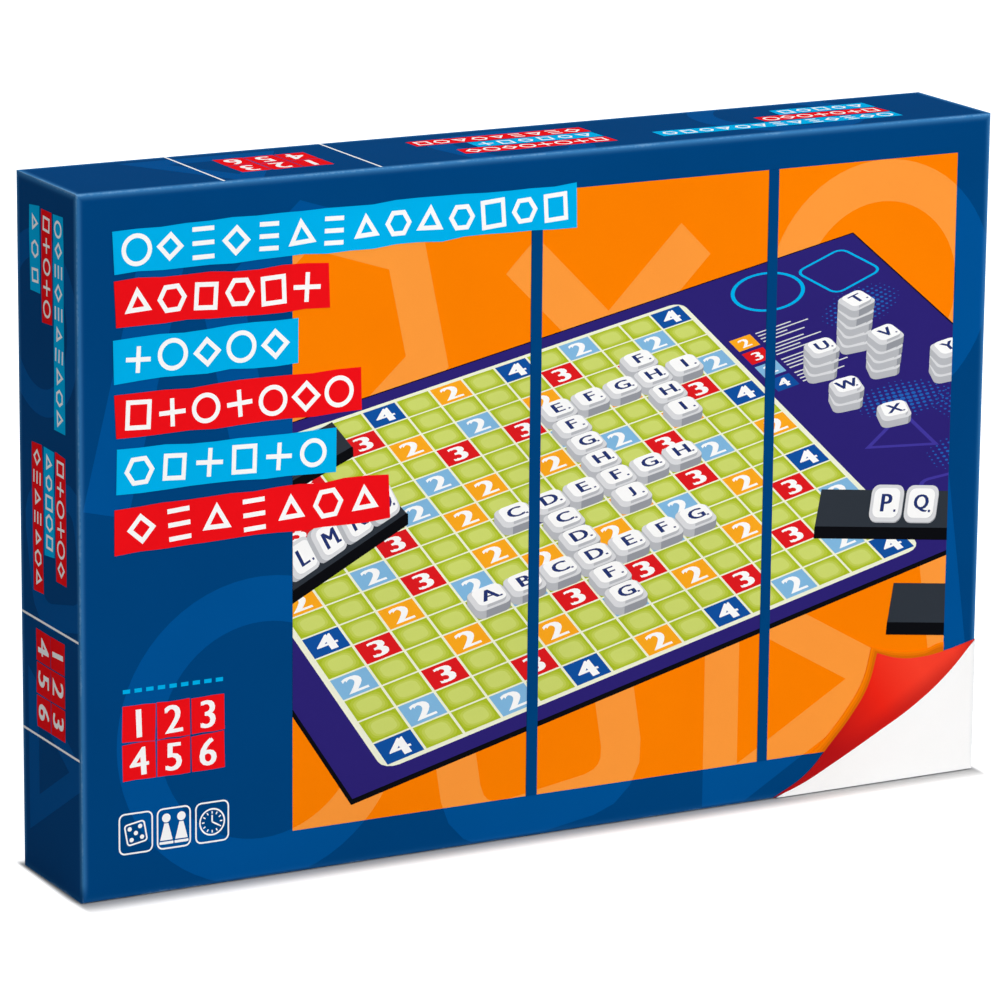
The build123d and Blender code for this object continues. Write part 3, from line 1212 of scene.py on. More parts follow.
@dataclass
class LidPicture:
    """The picture on the lid: a table with the board, tiles, racks and stacks, in cells of the board."""

    sheet: Sheet
    first: float
    view: TableView = field(default_factory=TableView)
    art: BoardArt = field(default_factory=BoardArt)
    board_high: float = 0.11
    tile: float = 0.9
    tile_high: float = 0.28
    slab_share: float = 0.72
    pad_share: float = 0.8
    on_board: float = 1.06
    rack_long: float = 7.6
    rack_deep: float = 1.0
    rack_lip: float = 0.31
    rack_slope: float = 1.06
    slope_angle: float = 26.0
    lean_angle: float = 50.0
    lean_pitch: float = 0.97
    runs: tuple[Run, ...] = (
        Run(9, 11, "EFGHI"), Run(12, 12, "FGHI", down=True), Run(6, 7, "CDEFGH"),
        Run(9, 10, "FGHIJ", down=True), Run(4, 4, "ABCDEFG"), Run(7, 6, "CDEFG", down=True),
    )
    stacks: tuple[tuple[float, float, int, str], ...] = (
        (18.35, 9.9, 5, "T"), (16.8, 9.1, 3, "U"), (18.45, 8.2, 4, "V"),
        (19.9, 6.9, 3, "Y"), (16.7, 7.3, 2, "W"), (17.5, 5.8, 1, "X"),
    )
    placed: list[tuple[float, float, float, float, float]] = field(default_factory=list)
    top_layer: float = 0.0

    def layer_over(self, shape: Shape) -> float:
        """The lowest free layer over everything that a projected shape may cover.

        Args:
            shape: The shape on the sheet.

        Returns:
            The layer.
        """
        across = [vert.co.x for vert in shape.verts]
        up = [vert.co.y for vert in shape.verts]
        box = (min(across), max(across), min(up), max(up))
        under = [
            other[4] for other in self.placed
            if other[0] < box[1] and box[0] < other[1] and other[2] < box[3] and box[2] < other[3]
        ]
        layer = max(under, default=self.first + 4) + 0.25
        self.placed.append((*box, layer))
        self.top_layer = max(self.top_layer, layer)
        return layer

    def put(self, ink: Ink, shape: Shape, place: Matrix, layer: float) -> None:
        """Projects a shape from its place on the table and prints it."""
        self.view.project(moved(shape, place))
        self.sheet.put(ink, shape, Matrix(), layer)

    def block(
        self, inks: tuple[Ink, Ink, Ink], shape: Shape, place: Matrix, low: float, high: float,
    ) -> float:
        """Draws an upright prism: the walls that face the eye, then its top.

        Args:
            inks: Inks of its top and of the walls that look left and right.
            shape: Its flat outline, which is freed.
            place: The outline's place on the table.
            low: Height of its foot.
            high: Height of its top.

        Returns:
            The layer that it took.
        """
        moved(shape, place @ Matrix.Translation((0, 0, low)))
        walls = shape.copy()
        floor = set(walls.faces)
        lift = place.to_3x3() @ Vector((0, 0, high - low))
        caps = floor | set(raise_faces(walls, walls.faces[:], lift))
        hidden = [face for face in walls.faces if face in caps or not self.view.sees(face)]
        bmesh.ops.delete(walls, geom=hidden, context="FACES")
        bmesh.ops.translate(shape, vec=lift, verts=shape.verts)
        probe = shape.copy()
        self.sheet.press.join(probe, walls)
        self.view.project(probe)
        layer = self.layer_over(probe)
        probe.free()
        for looks_left, ink in ((True, inks[1]), (False, inks[2])):
            part = walls.copy()
            others = [face for face in part.faces if (face.normal.x < 0) != looks_left]
            bmesh.ops.delete(part, geom=others, context="FACES")
            self.put(ink, part, Matrix(), layer)
        walls.free()
        self.put(inks[0], shape, Matrix(), layer)
        return layer

    def tile_at(self, letter: str, place: Matrix, foot: float = 0.0) -> None:
        """Draws a letter tile.

        Args:
            letter: Its letter.
            place: Its middle on the table.
            foot: Height of its underside.
        """
        shoulder, top = foot + self.tile_high * self.slab_share, foot + self.tile_high
        slab = Shapes.rectangle(self.tile, self.tile, 0.2)
        self.block((Ink.SILVER, Ink.STEEL, Ink.SLATE), slab, place, foot, shoulder)
        pad = Shapes.rectangle(self.tile * self.pad_share, self.tile * self.pad_share, 0.17)
        layer = self.block((Ink.WHITE, Ink.SILVER, Ink.STEEL), pad, place, shoulder, top) + 0.1
        face = place @ Matrix.Translation((0, 0, top))
        Mark(letter, 0.43, 0.02).stamp(self.put, Ink.NAVY, face, layer, step=0.1)
        self.put(Ink.NAVY, Shapes.rectangle(0.06, 0.06), face @ spot(0.25, -0.19), layer)

    def rack_at(self, place: Matrix, letters: str = "", shift: float = 0.0) -> None:
        """Draws a rack that faces the near side, with tiles leaning on it.

        Args:
            place: Middle of the rack's front edge on the table.
            letters: The letters of its tiles, from the left.
            shift: Distance of the tiles' middle from the rack's, to the right.
        """
        foot = Shapes.rectangle(self.rack_long, self.rack_deep)
        middle = place @ spot(0.0, self.rack_deep / 2)
        layer = self.block((Ink.BLACK,) * 3, foot, middle, 0.0, self.rack_lip)
        slope = Shapes.rectangle(self.rack_long, self.rack_slope)
        lean = place @ Matrix.Translation((0, 0.06, self.rack_lip)) @ tipped(self.slope_angle)
        self.put(Ink.GRAPHITE, slope, lean @ spot(0.0, self.rack_slope / 2), layer + 0.1)
        for order, letter in enumerate(letters):
            across = shift + (order - (len(letters) - 1) / 2) * self.lean_pitch
            lean = place @ Matrix.Translation((across, 0.26, self.rack_lip)) @ tipped(self.lean_angle)
            self.tile_at(letter, lean @ spot(0.0, self.tile / 2))

    def draw(self) -> None:
        """Draws the picture from the far side to the near one."""
        length, depth = self.art.size
        self.block((Ink.BLACK,) * 3, Shapes.rectangle(length, depth), self.art.middle, -self.board_high, 0.0)
        self.placed.clear()
        self.put(Ink.VIOLET, Shapes.rectangle(length - 0.1, depth - 0.1), self.art.middle, self.first + 5)
        self.art.draw(self.put, self.first + 6)
        self.first += 5
        self.rack_at(spot(0.86, 12.02, 18.0, 0.88))
        for across, far, high, letter in self.stacks:
            for storey in range(high):
                self.tile_at(letter, spot(across, far, 6 * storey - 14), storey * self.tile_high)
        spots: dict[tuple[int, int], str] = {}
        for run in self.runs:
            spots = run.spots() | spots
        for (column, row), letter in sorted(spots.items(), key=lambda item: (-item[0][1], -item[0][0])):
            self.tile_at(letter, spot(column + 0.5, row + 0.5, 0.0, self.on_board))
        self.rack_at(spot(0.7, 7.72, 22.5, 0.97), "KLMNO", 1.3)
        self.rack_at(spot(15.9, -0.3, -37.0), "PQ", -1.4)
        self.rack_at(spot(15.51, -5.17, -37.0))


class Symbol(Enum):
    """The plain symbols that fill the strips; a polygon has its sides, turn, size and drop."""

    RING = (28, 0.0, 1.0, 0.0)
    SQUARE = "square"
    TRIANGLE = (3, 0.0, 1.12, 0.12)
    DIAMOND = (4, 0.0, 1.0, 0.0)
    CROSS = "cross"
    HEXAGON = (6, 30.0, 1.0, 0.0)
    BARS = "bars"

    def strokes(self, height: float, stroke: float) -> list[Shape]:
        """Draws the symbol about the origin.

        Args:
            height: Its height.
            stroke: Width of its line.

        Returns:
            Its shapes.
        """
        half = height / 2
        if self is Symbol.CROSS:
            return [Shapes.plus(height * 0.92, stroke)]
        if self is Symbol.BARS:
            rise = half - stroke / 2
            return [moved(Shapes.rectangle(height * 0.72, stroke), spot(0, way * rise)) for way in (-1, 0, 1)]
        if self is Symbol.SQUARE:
            return [Shapes.border(height * 0.86, height * 0.94, stroke)]
        sides, turn, size, drop = self.value
        return [Shapes.outline(moved(Shapes.disc(half * size, sides), spot(0.0, -drop * half, turn)), stroke)]


@dataclass(frozen=True)
class Strip:
    """A torn-edged strip of colour with a row of white symbols."""

    ink: Ink
    left: float
    right: float
    low: float
    high: float
    tilt: float
    start: int


@dataclass
class BoxPrint:
    """What the prints of the lid and of the base's back share."""

    press: Press
    width: float
    rim: float = 1.2
    symbol_share: float = 0.7
    stroke_share: float = 0.104
    tone_layer: float = 1.0
    mark_layer: float = 1.5
    chance: random.Random = field(default_factory=lambda: random.Random(11))

    def giants(self, sheet: Sheet, ink: Ink, layer: float) -> None:
        """Prints the large quiet shapes behind everything.

        Args:
            sheet: The face, with its window.
            ink: The ink.
            layer: The layer.
        """
        made = (
            (Shapes.ring(58.0, 17.0, 64), spot(-118.0, 56.0)),
            (Shapes.border(86.0, 86.0, 17.0, 24.0), spot(-5.0, 44.0, 9.0)),
            (Shapes.ring(62.0, 15.0, 3), spot(99.0, 44.0, 30.0)),
            (Shapes.ring(50.0, 16.0, 64), spot(142.0, 196.0)),
            (Shapes.plus(104.0, 18.0), spot(24.0, 186.0, 45.0)),
            (Shapes.ring(52.0, 16.0, 6), spot(-92.0, 200.0, 12.0)),
            (Shapes.rectangle(18.0, 96.0), spot(-168.0, 190.0, -14.0)),
            (Shapes.rectangle(17.0, 92.0), spot(172.0, 84.0, 8.0)),
        )
        for shape, place in made:
            sheet.put(ink, shape, place, layer)

    def strip(self, sheet: Sheet, strip: Strip, layer: float) -> None:
        """Prints a strip and its symbols.

        Args:
            sheet: The sheet.
            strip: The strip.
            layer: Layer of the strip's colour.
        """
        length, high = strip.right - strip.left, strip.high - strip.low
        torn = Shapes.rectangle(length, high, parts=max(3, int(length / 9)))
        for vert in torn.verts:
            vert.co.y += self.chance.uniform(-0.035, 0.035) * high
            if abs(vert.co.x) > length / 2 - 0.01:
                vert.co.x += self.chance.uniform(-0.05, 0.05) * high
        band = sheet.turned(spot((strip.left + strip.right) / 2, (strip.low + strip.high) / 2, strip.tilt))
        band.put(strip.ink, torn, Matrix(), layer)
        size = high * self.symbol_share
        row = length - 0.3 * high
        count = max(1, int(row / (size * 1.13)))
        symbols = list(Symbol)
        for order in range(count):
            symbol = symbols[(strip.start + order * 3 + order // 3) % len(symbols)]
            across = (order - (count - 1) / 2) * (row / count)
            place = spot(across, self.chance.uniform(-0.02, 0.02) * high, self.chance.uniform(-4, 4))
            for shape in symbol.strokes(size * self.chance.uniform(0.93, 1.06), high * self.stroke_share):
                band.put(Ink.WHITE, shape, place, layer + 1)

    def strips(self, sheet: Sheet, left: float, rows: Rows, layer: float) -> None:
        """Prints cyan and red strips by turns; a row is right end, low, high, tilt and first symbol."""
        for order, row in enumerate(rows):
            self.strip(sheet, Strip((Ink.CYAN, Ink.RED)[order % 2], left, *row), layer)

    def number_block(self, sheet: Sheet, cell: float) -> None:
        """Prints the red block of six numbers.

        Args:
            sheet: The sheet, its axes at the block's middle.
            cell: Width of one cell.
        """
        for order in range(6):
            across, up = (order % 3 - 1) * cell, (0.52 - order // 3) * cell * 1.04
            square = Shapes.rectangle(cell * 0.955, cell, parts=3)
            for vert in square.verts:
                vert.co.y += self.chance.uniform(-0.02, 0.02) * cell
            sheet.put(Ink.RED, square, spot(across, up, self.chance.uniform(-1.5, 1.5)), self.mark_layer)
            middle = sheet.turned(spot(across, up, self.chance.uniform(-3, 3)))
            number = Mark(str(order + 1), cell * 0.76, cell * 0.024)
            number.stamp(middle.put, Ink.WHITE, Matrix(), self.mark_layer + 1)


@dataclass(frozen=True)
class PaperCurl:
    """The bare white corner, the red curl of paper beside it and the shade that the curl casts."""

    edge: float
    tip: Pair = (99.5, 0.35)
    side: tuple[Pair, ...] = ((114.2, 8.2), (124.5, 18.8), (134.1, 29.5), (141.0, 40.0))
    crest: tuple[Pair, ...] = ((144.8, 52.6), (154.2, 49.5), (165.3, 48.6), (177.0, 50.0))
    roll_back: tuple[Pair, ...] = ((177.0, 40.1), (163.0, 29.9), (144.6, 20.0), (126.0, 10.7), (112.0, 4.3))
    page_side: tuple[Pair, ...] = ((177.5, 41.8), (163.3, 31.6), (145.0, 21.6), (126.0, 12.0), (112.6, 5.5))

    def page(self) -> Shape:
        """The white page under the curl."""
        return Shapes.curve(((101.0, 0.3), (self.edge, 0.3), (self.edge, 52.4), *self.page_side))

    def roll(self) -> Shape:
        """The curl itself, with sharp corners at its tip and at both ends of its crest."""
        border = (self.tip, *self.side, *self.crest, (self.edge, 52.8), *self.roll_back)
        return Shapes.curve(border, (0, 5, 9))

    def shade(self, wide: float) -> Shape:
        """The curl's shade.

        Args:
            wide: How far it reaches past the curl.

        Returns:
            The shape.
        """
        side = [(across - wide, up + wide) for across, up in (*self.side, (144.6, 52.8))]
        crest = [(across, up + wide) for across, up in ((154.2, 49.7), (165.3, 48.8), (177.0, 50.2))]
        under = ((180.0, 47.0), (150.0, 32.0), (125.0, 13.5))
        return Shapes.curve(((112.0, 6.4), *side, *crest, *under), (0, 5, 9, 11))


@dataclass
class LidPrint(BoxPrint):
    """Everything printed on the lid's face and walls."""

    width: float = 380.0
    height: float = 260.0
    depth: float = 53.0
    panel_low: float = 16.0
    panel_high: float = 246.0
    panel_edges: tuple[Pair, ...] = ((-105.8, -8.7), (-4.1, 91.9), (96.2, 175.2))
    strip_left: float = -175.7
    strip_rows: Rows = (
        (10.0, 231.0, 247.0, 0.5, 0), (-91.0, 211.2, 227.6, -0.4, 2), (-103.6, 191.4, 207.4, 0.6, 4),
        (-78.2, 170.9, 187.0, 0.5, 1), (-88.3, 150.3, 166.3, -0.4, 5), (-66.8, 129.3, 146.0, 0.8, 3),
    )
    icon_middles: Triple = (-168.7, -153.6, -138.3)
    icon_up: float = 24.0
    line: float = 0.6
    wall_first: float = 9.4
    wall_pitch: float = 10.3
    wall_drop: float = 3.2
    wall_strip: float = 9.2
    wall_reaches: tuple[Triple, ...] = ((1.0, 0.52, 0.40), (0.86, 0.72, 1.0))

    def __post_init__(self) -> None:
        """Sets up the lid's five faces."""
        half = self.width / 2
        self.front = Sheet(self.press, sheet_place((0.0, -self.depth / 2, 0.0), Way.RIGHT, Way.UP))
        self.left = Sheet(self.press, sheet_place((-half, 0.0, 0.0), Way.NEAR, Way.UP))
        self.right = Sheet(self.press, sheet_place((half, 0.0, 0.0), Way.FAR, Way.UP))
        self.top = Sheet(self.press, sheet_place((0.0, 0.0, self.height), Way.RIGHT, Way.FAR))
        self.bottom = Sheet(self.press, sheet_place((0.0, 0.0, 0.0), Way.RIGHT, Way.NEAR))

    @property
    def wall_half(self) -> float:
        """Half the width of what is printed on a wall."""
        return self.depth / 2 - self.rim

    def mark(self, shape: Shape, place: Matrix) -> None:
        """Prints a white mark on the face."""
        self.front.put(Ink.WHITE, shape, place, self.mark_layer)

    def icons(self) -> None:
        """Prints the three framed icons: a die, two pawns and a clock dial."""
        die, pawns, dial = (spot(middle, self.icon_up) for middle in self.icon_middles)
        for place in (die, pawns, dial):
            self.mark(Shapes.border(13.6, 15.6, self.line, 2.4), place)
        die = die @ spot(0.0, 0.0, 10.0)
        self.mark(Shapes.border(8.4, 8.4, self.line, 1.4), die)
        for across, up in ((-2.1, 2.1), (2.1, 2.1), (0.0, 0.0), (-2.1, -2.1), (2.1, -2.1)):
            self.mark(Shapes.disc(0.85, 16), die @ spot(across, up))
        robe = ((-2.5, 0.0), (2.5, 0.0), (0.8, 6.4), (-0.8, 6.4))
        for side in (-3.0, 3.0):
            self.mark(Shapes.disc(1.7, 20), pawns @ spot(side, 4.0))
            self.mark(Shapes.curve(robe), pawns @ spot(side, -4.4))
            self.mark(Shapes.rectangle(5.6, 1.0, 0.3), pawns @ spot(side, -5.4))
        self.mark(Shapes.ring(5.2, self.line, 36), dial)
        for hour in range(12):
            self.mark(Shapes.rectangle(0.45, 1.0), dial @ spot(0.0, 0.0, 30.0 * hour) @ spot(0.0, 3.6))
        for length, turn in ((2.6, 0.0), (3.4, -120.0)):
            hand = dial @ spot(0.0, 0.0, turn) @ spot(0.0, length / 2)
            self.mark(Shapes.rectangle(self.line, length), hand)

    def corner(self, layer: float) -> None:
        """Prints the bare white corner with its red paper curl.

        Args:
            layer: Layer of the white page.
        """
        paper = PaperCurl(self.width / 2 - 0.3)
        self.front.put(Ink.WHITE, paper.page(), Matrix(), layer)
        self.front.put(Ink.CURL, paper.roll(), Matrix(), layer + 1)
        left, right = self.panel_edges[-1]
        panel = self.front.within((left, self.panel_low), (right, self.panel_high))
        for wide, ink in ((2.4, Ink.WARM), (1.6, Ink.WARMER), (0.8, Ink.SHADE)):
            panel.put(ink, paper.shade(wide), Matrix(), layer + 0.7 - wide / 10)

    def panel(self, ink: Ink, left: float, right: float, layer: float) -> None:
        """Prints an upright panel as high as the picture, from its left side to its right."""
        shape = Shapes.rectangle(right - left, self.panel_high - self.panel_low)
        self.front.put(ink, shape, spot((left + right) / 2, (self.panel_low + self.panel_high) / 2), layer)

    def face(self) -> None:
        """Prints the lid's face, from the quiet shapes up to the strips and the corner."""
        half = self.width / 2 - self.rim
        whole = self.front.within((-half, self.rim), (half, self.height - self.rim))
        self.giants(whole, Ink.TONE, self.tone_layer)
        for left, right in self.panel_edges:
            self.panel(Ink.ORANGE, left, right, 2)
            window = self.front.within((left, self.panel_low), (right, self.panel_high))
            self.giants(window, Ink.LIGHT_ORANGE, 3)
        low, high = (self.panel_edges[0][0], self.panel_low), (self.panel_edges[-1][1], self.panel_high)
        picture = LidPicture(self.front.within(low, high), 4)
        picture.draw()
        over = picture.top_layer + 1
        for (_, left), (right, _) in zip(self.panel_edges, self.panel_edges[1:], strict=False):
            self.panel(Ink.BLUE, left, right, over)
        self.strips(self.front, self.strip_left, self.strip_rows, over + 1)
        self.number_block(self.front.turned(spot(-153.5, 57.6)), 13.7)
        for order in range(9):
            dash = spot(-172.0 + 4.6 * order, 77.4)
            self.front.put(Ink.CYAN, Shapes.rectangle(2.9, 1.5), dash, self.mark_layer)
        self.icons()
        self.corner(over + 1)

    def quiet(self, wall: Sheet, length: float) -> None:
        """Prints the large quiet shapes of a wall.

        Args:
            wall: The wall, its first axis along it.
            length: The wall's length.
        """
        made = (
            (Shapes.ring(34.0, 10.0, 48), spot(0.2 * length, -6.0)),
            (Shapes.border(54.0, 54.0, 10.0, 16.0), spot(0.52 * length, 8.0, 12.0)),
            (Shapes.ring(36.0, 9.0, 3), spot(0.82 * length, -2.0)),
        )
        low, high = (self.rim, -self.wall_half), (length - self.rim, self.wall_half)
        for shape, place in made:
            wall.put(Ink.TONE, clip(moved(shape, place), low, high), Matrix(), self.tone_layer)

    def wall(self, wall: Sheet, lines: Pair, groups: tuple[Pair, ...]) -> None:
        """Prints two cross lines on a wall, the number block between them and groups of strips.

        Args:
            wall: The wall, its first axis along it.
            lines: Distances of the two cross lines along the wall.
            groups: Start and end of the two groups of strips.
        """
        for along in lines:
            wall.put(Ink.WHITE, Shapes.rectangle(0.9, 2 * self.wall_half), spot(along, 0.0), self.mark_layer)
        self.number_block(wall.turned(spot(sum(lines) / 2, 0.0)), 12.4)
        for number, (start, end) in enumerate(groups):
            for row, reach in enumerate(self.wall_reaches[number]):
                ink = (Ink.CYAN, Ink.RED)[(number + row) % 2]
                low = self.wall_first - self.wall_pitch * row - self.wall_drop
                ends = (start, start + (end - start) * reach)
                tilt = self.chance.uniform(-0.5, 0.5)
                strip = Strip(ink, *ends, low, low + self.wall_strip, tilt, row + number)
                self.strip(wall, strip, self.mark_layer)

    def print_all(self) -> None:
        """Prints the face and the four walls."""
        self.face()
        quarter, half_turn = spot(0.0, 0.0, 90.0), spot(0.0, 0.0, 180.0)
        start = spot(-self.width / 2, 0.0)
        down = spot(0.0, self.height) @ half_turn @ quarter
        for wall in (self.left.turned(down), self.right.turned(quarter)):
            self.quiet(wall, self.height)
            self.wall(wall, (self.height - 97.3, self.height - 53.4), ((10.0, 89.0), (97.0, 152.0)))
        for wall in (self.top.turned(half_turn @ start), self.bottom.turned(start)):
            self.quiet(wall, self.width)
            self.wall(wall, (self.width - 120.4, self.width - 58.0), ((33.0, 137.0), (157.0, 230.0)))


@dataclass
class BackPrint(BoxPrint):
    """The print on the base's back: the contents laid out flat, ruled text and a bare label."""

    width: float = 374.8
    foot: float = 2.6
    high: float = 257.4
    back_y: float = 26.5
    art: BoardArt = field(default_factory=BoardArt)
    plan_cell: float = 7.6
    plan_middle: Pair = (-56.0, 161.0)
    rack_up: float = 79.0
    rack_long: float = 58.0
    tile_pitch: float = 7.2
    text_left: float = 72.0
    text_right: float = 172.0
    line_pitch: float = 4.4
    strip_rows: Rows = (
        (172.0, 224.0, 238.0, 0.4, 0), (142.0, 206.0, 220.0, -0.5, 2), (156.0, 188.0, 202.0, 0.4, 4),
    )
    ragged: random.Random = field(default_factory=lambda: random.Random(8))

    def __post_init__(self) -> None:
        """Sets up the back's face."""
        self.back = Sheet(self.press, sheet_place((0.0, self.back_y, 0.0), Way.LEFT, Way.UP))

    def rules(self, left: float, right: float, top: float, lines: int) -> None:
        """Prints a column of ruled lines in the place of text.

        Args:
            left: The column's left side.
            right: Its right side.
            top: Height of its first line.
            lines: Number of its lines.
        """
        for order in range(lines):
            share = (0.4, 0.7) if order % 5 == 4 else (0.92, 1.0)
            length = (right - left) * self.ragged.uniform(*share)
            place = spot(left + length / 2, top - self.line_pitch * order)
            self.back.put(Ink.SKY, Shapes.rectangle(length, 0.9), place, self.mark_layer)

    def plan_board(self) -> None:
        """Prints the open game board seen from above."""
        length, depth = self.art.size
        plan = self.back.turned(spot(*self.plan_middle) @ Matrix.Scale(self.plan_cell, 4))
        plan.put(Ink.BLACK, Shapes.rectangle(length + 0.1, depth + 0.1), Matrix(), 3)
        plan.put(Ink.VIOLET, Shapes.rectangle(length, depth), Matrix(), 4)
        self.art.draw(plan.turned(self.art.middle.inverted()).put, 5)

    def plan_rack(self, across: float, letters: str) -> None:
        """Prints a rack seen from above, with its tiles.

        Args:
            across: Its middle.
            letters: The letters of its tiles.
        """
        rack = self.back.turned(spot(across, self.rack_up))
        rack.put(Ink.BLACK, Shapes.rectangle(self.rack_long, 8.6, 0.8), Matrix(), 3)
        rack.put(Ink.GRAPHITE, Shapes.rectangle(self.rack_long, 4.6, 0.6), spot(0.0, 1.4), 4)
        for order, letter in enumerate(letters):
            tile = rack.turned(spot((order - (len(letters) - 1) / 2) * self.tile_pitch, 0.8))
            tile.put(Ink.SILVER, Shapes.rectangle(6.6, 6.6, 1.4), Matrix(), 5)
            tile.put(Ink.WHITE, Shapes.rectangle(5.2, 5.2, 1.1), Matrix(), 6)
            Mark(letter, 2.8, 0.12).stamp(tile.put, Ink.NAVY, Matrix(), 7)

    def print_all(self) -> None:
        """Prints the back."""
        half = self.width / 2 - self.rim
        window = self.back.within((-half, self.foot + self.rim), (half, self.high - self.rim))
        self.giants(window, Ink.TONE, self.tone_layer)
        self.back.put(Ink.ORANGE, Shapes.rectangle(228.0, 176.0), spot(-56.0, 150.0), 2)
        self.plan_board()
        for across, letters in ((-128.0, "ABCD"), (-56.0, "EFGHI"), (16.0, "JKL")):
            self.plan_rack(across, letters)
        self.strips(self.back, self.text_left, self.strip_rows, self.mark_layer)
        self.rules(self.text_left, self.text_right, 176.0, 22)
        for left in (-170.0, -92.0, -14.0):
            self.rules(left, left + 72.0, 48.0, 9)
        self.number_block(self.back.turned(spot(92.0, 40.0)), 13.7)
        self.back.put(Ink.WHITE, Shapes.rectangle(44.0, 30.0, 1.5), spot(150.0, 40.5), self.mark_layer)


@dataclass
class PaperAndBoard:
    """The box's own CAD nodes, each in its real stock."""

    effects: Effects

    def dress(self, nodes: dict[str, bpy.types.Object]) -> None:
        """Gives every card and paper node its finish.

        Args:
            nodes: The CAD nodes by name.
        """
        lining = PrintedPaper("Black lining paper", "#17171B", roughness=0.55, varnish=0.0, swing=0.15)
        leaflet = PrintedPaper("Leaflet paper", "#F3F2EC", roughness=0.6, varnish=0.0, swing=0.02)
        stocks = (
            (GREY_BOARD, ("lid_board", "base_board", "front_leaf_core", "rear_leaf_core")),
            (GUMMED_TAPE, ("lid_corner_stays", "base_corner_stays")),
            (PrintedPaper("Blue lid paper", Ink.BLUE.value, LID_WEAR_AND_SHEEN), ("lid_wrap",)),
            (PrintedPaper("Blue base paper", Ink.BLUE.value, BASE_WEAR_AND_SHEEN), ("base_wrap",)),
            (lining, ("front_leaf_backing", "rear_leaf_backing")),
            (PrintedPaper("Violet board paper", Ink.VIOLET.value), ("front_leaf_face", "rear_leaf_face")),
            (leaflet, ("rules_leaflet",)),
        )
        for stock, names in stocks:
            finish = stock.make(self.effects)
            for name in names:
                self.coat(nodes[name], finish)
                log.info("%s: %s", name, stock.name)

    @staticmethod
    def coat(node: bpy.types.Object, finish: Material) -> None:
        """Puts one finish in every material slot of a node.

        Args:
            node: The node.
            finish: The finish.
        """
        for slot in node.material_slots:
            slot.material = finish
        if not node.material_slots:
            node.data.materials.append(finish)


@dataclass
class GameBoard:
    """The print on the two leaves of the folding game board."""

    front: Press
    rear: Press
    art: BoardArt = field(default_factory=BoardArt)
    cell: float = 21.646
    width: float = 355.0
    leaf: float = 245.0
    border: float = 0.4
    fold_gap: float = 0.1

    def print_all(self) -> None:
        """Prints both leaves from the same art, each cut off at the fold."""
        half = self.width / 2 - self.border
        rear_place = sheet_place((0.0, -21.7, 5.1), Way.RIGHT, Way.UP)
        front_place = sheet_place((0.0, -22.0, 495.1), Way.RIGHT, Way.DOWN)
        upright = spot(0.0, -self.art.left * self.cell, 90.0)
        axes = upright @ Matrix.Scale(self.cell, 4) @ spot(0.0, -self.art.cells / 2)
        for sheet, low, high in (
            (Sheet(self.rear, rear_place, axes), self.border, self.leaf - self.fold_gap),
            (Sheet(self.front, front_place, axes), self.leaf + self.fold_gap, 2 * self.leaf - self.border),
        ):
            self.art.draw(sheet.within((-half, low), (half, high)).put, 1)


@dataclass
class Leaflet:
    """The print on the rules leaflet: a heading bar, ruled text and a small diagram."""

    press: Press
    width: float = 148.0
    height: float = 210.0
    margin: float = 12.0
    gutter: float = 6.0
    line_pitch: float = 4.6
    grid_cells: int = 7
    grid_pitch: float = 7.8
    ragged: random.Random = field(default_factory=lambda: random.Random(5))

    def print_all(self) -> None:
        """Prints the leaflet's front."""
        sheet = Sheet(self.press, sheet_place((0.0, -19.2, 5.1), Way.RIGHT, Way.UP))
        column = (self.width - 2 * self.margin - self.gutter) / 2
        middle = (column + self.gutter) / 2
        heading = Shapes.rectangle(self.width - 2 * self.margin, 14.0, 2.0)
        sheet.put(Ink.BLUE, heading, spot(0.0, self.height - 20.0), 1)
        for order, symbol in enumerate(list(Symbol)[:6]):
            for shape in symbol.strokes(7.0, 0.9):
                sheet.put(Ink.WHITE, shape, spot(-40.0 + 16.0 * order, self.height - 20.0), 2)
        self.rules(sheet, -middle - column / 2, column, 34)
        self.rules(sheet, middle - column / 2, column, 17)
        centre = self.grid_cells // 2
        for across in range(-centre, centre + 1):
            for up in range(-centre, centre + 1):
                ink = Ink.AMBER if abs(across) == abs(up) else Ink.GREEN
                place = spot(middle + across * self.grid_pitch, 40.0 + up * self.grid_pitch)
                sheet.put(ink, Shapes.rectangle(7.2, 7.2), place, 1)
        sheet.put(Ink.BLUE, Shapes.glyph("1", 4.0), spot(0.0, 7.0), 1)

    def rules(self, sheet: Sheet, left: float, width: float, lines: int) -> None:
        """Prints a column of ruled lines, in paragraphs of eight.

        Args:
            sheet: The sheet.
            left: The column's left side.
            width: Its width.
            lines: Number of its lines, with the empty ones.
        """
        for order in range(lines):
            line = order % 9
            if line == 8:
                continue
            share = (0.45, 0.75) if line == 7 else (0.93, 1.0)
            length = width * self.ragged.uniform(*share)
            place = spot(left + length / 2, self.height - 36.0 - order * self.line_pitch)
            sheet.put(Ink.SLATE, Shapes.rectangle(length, 1.1), place, 1)


@dataclass
class TileRack:
    """A moulded tile rack, softened along its edges, on the body that has its node's name."""

    node: str
    edge_m: float = 0.00045
    crease: float = 35.0

    def build(self, plastic: Material) -> None:
        """Makes the soft-edged rack in place of its node.

        Args:
            plastic: Its finish.
        """
        shape = bmesh.new()
        shape.from_mesh(frame["nodes"][self.node].data)
        bmesh.ops.remove_doubles(shape, verts=shape.verts, dist=1e-6)
        bmesh.ops.dissolve_limit(shape, angle_limit=math.radians(1), verts=shape.verts, edges=shape.edges)
        soften(shape, self.edge_m)
        bmesh.ops.recalc_face_normals(shape, faces=shape.faces)
        rack = finish_piece(f"moulded_{self.node}", shape, self.node, plastic)
        stand_for(rack, self.node, self.crease)


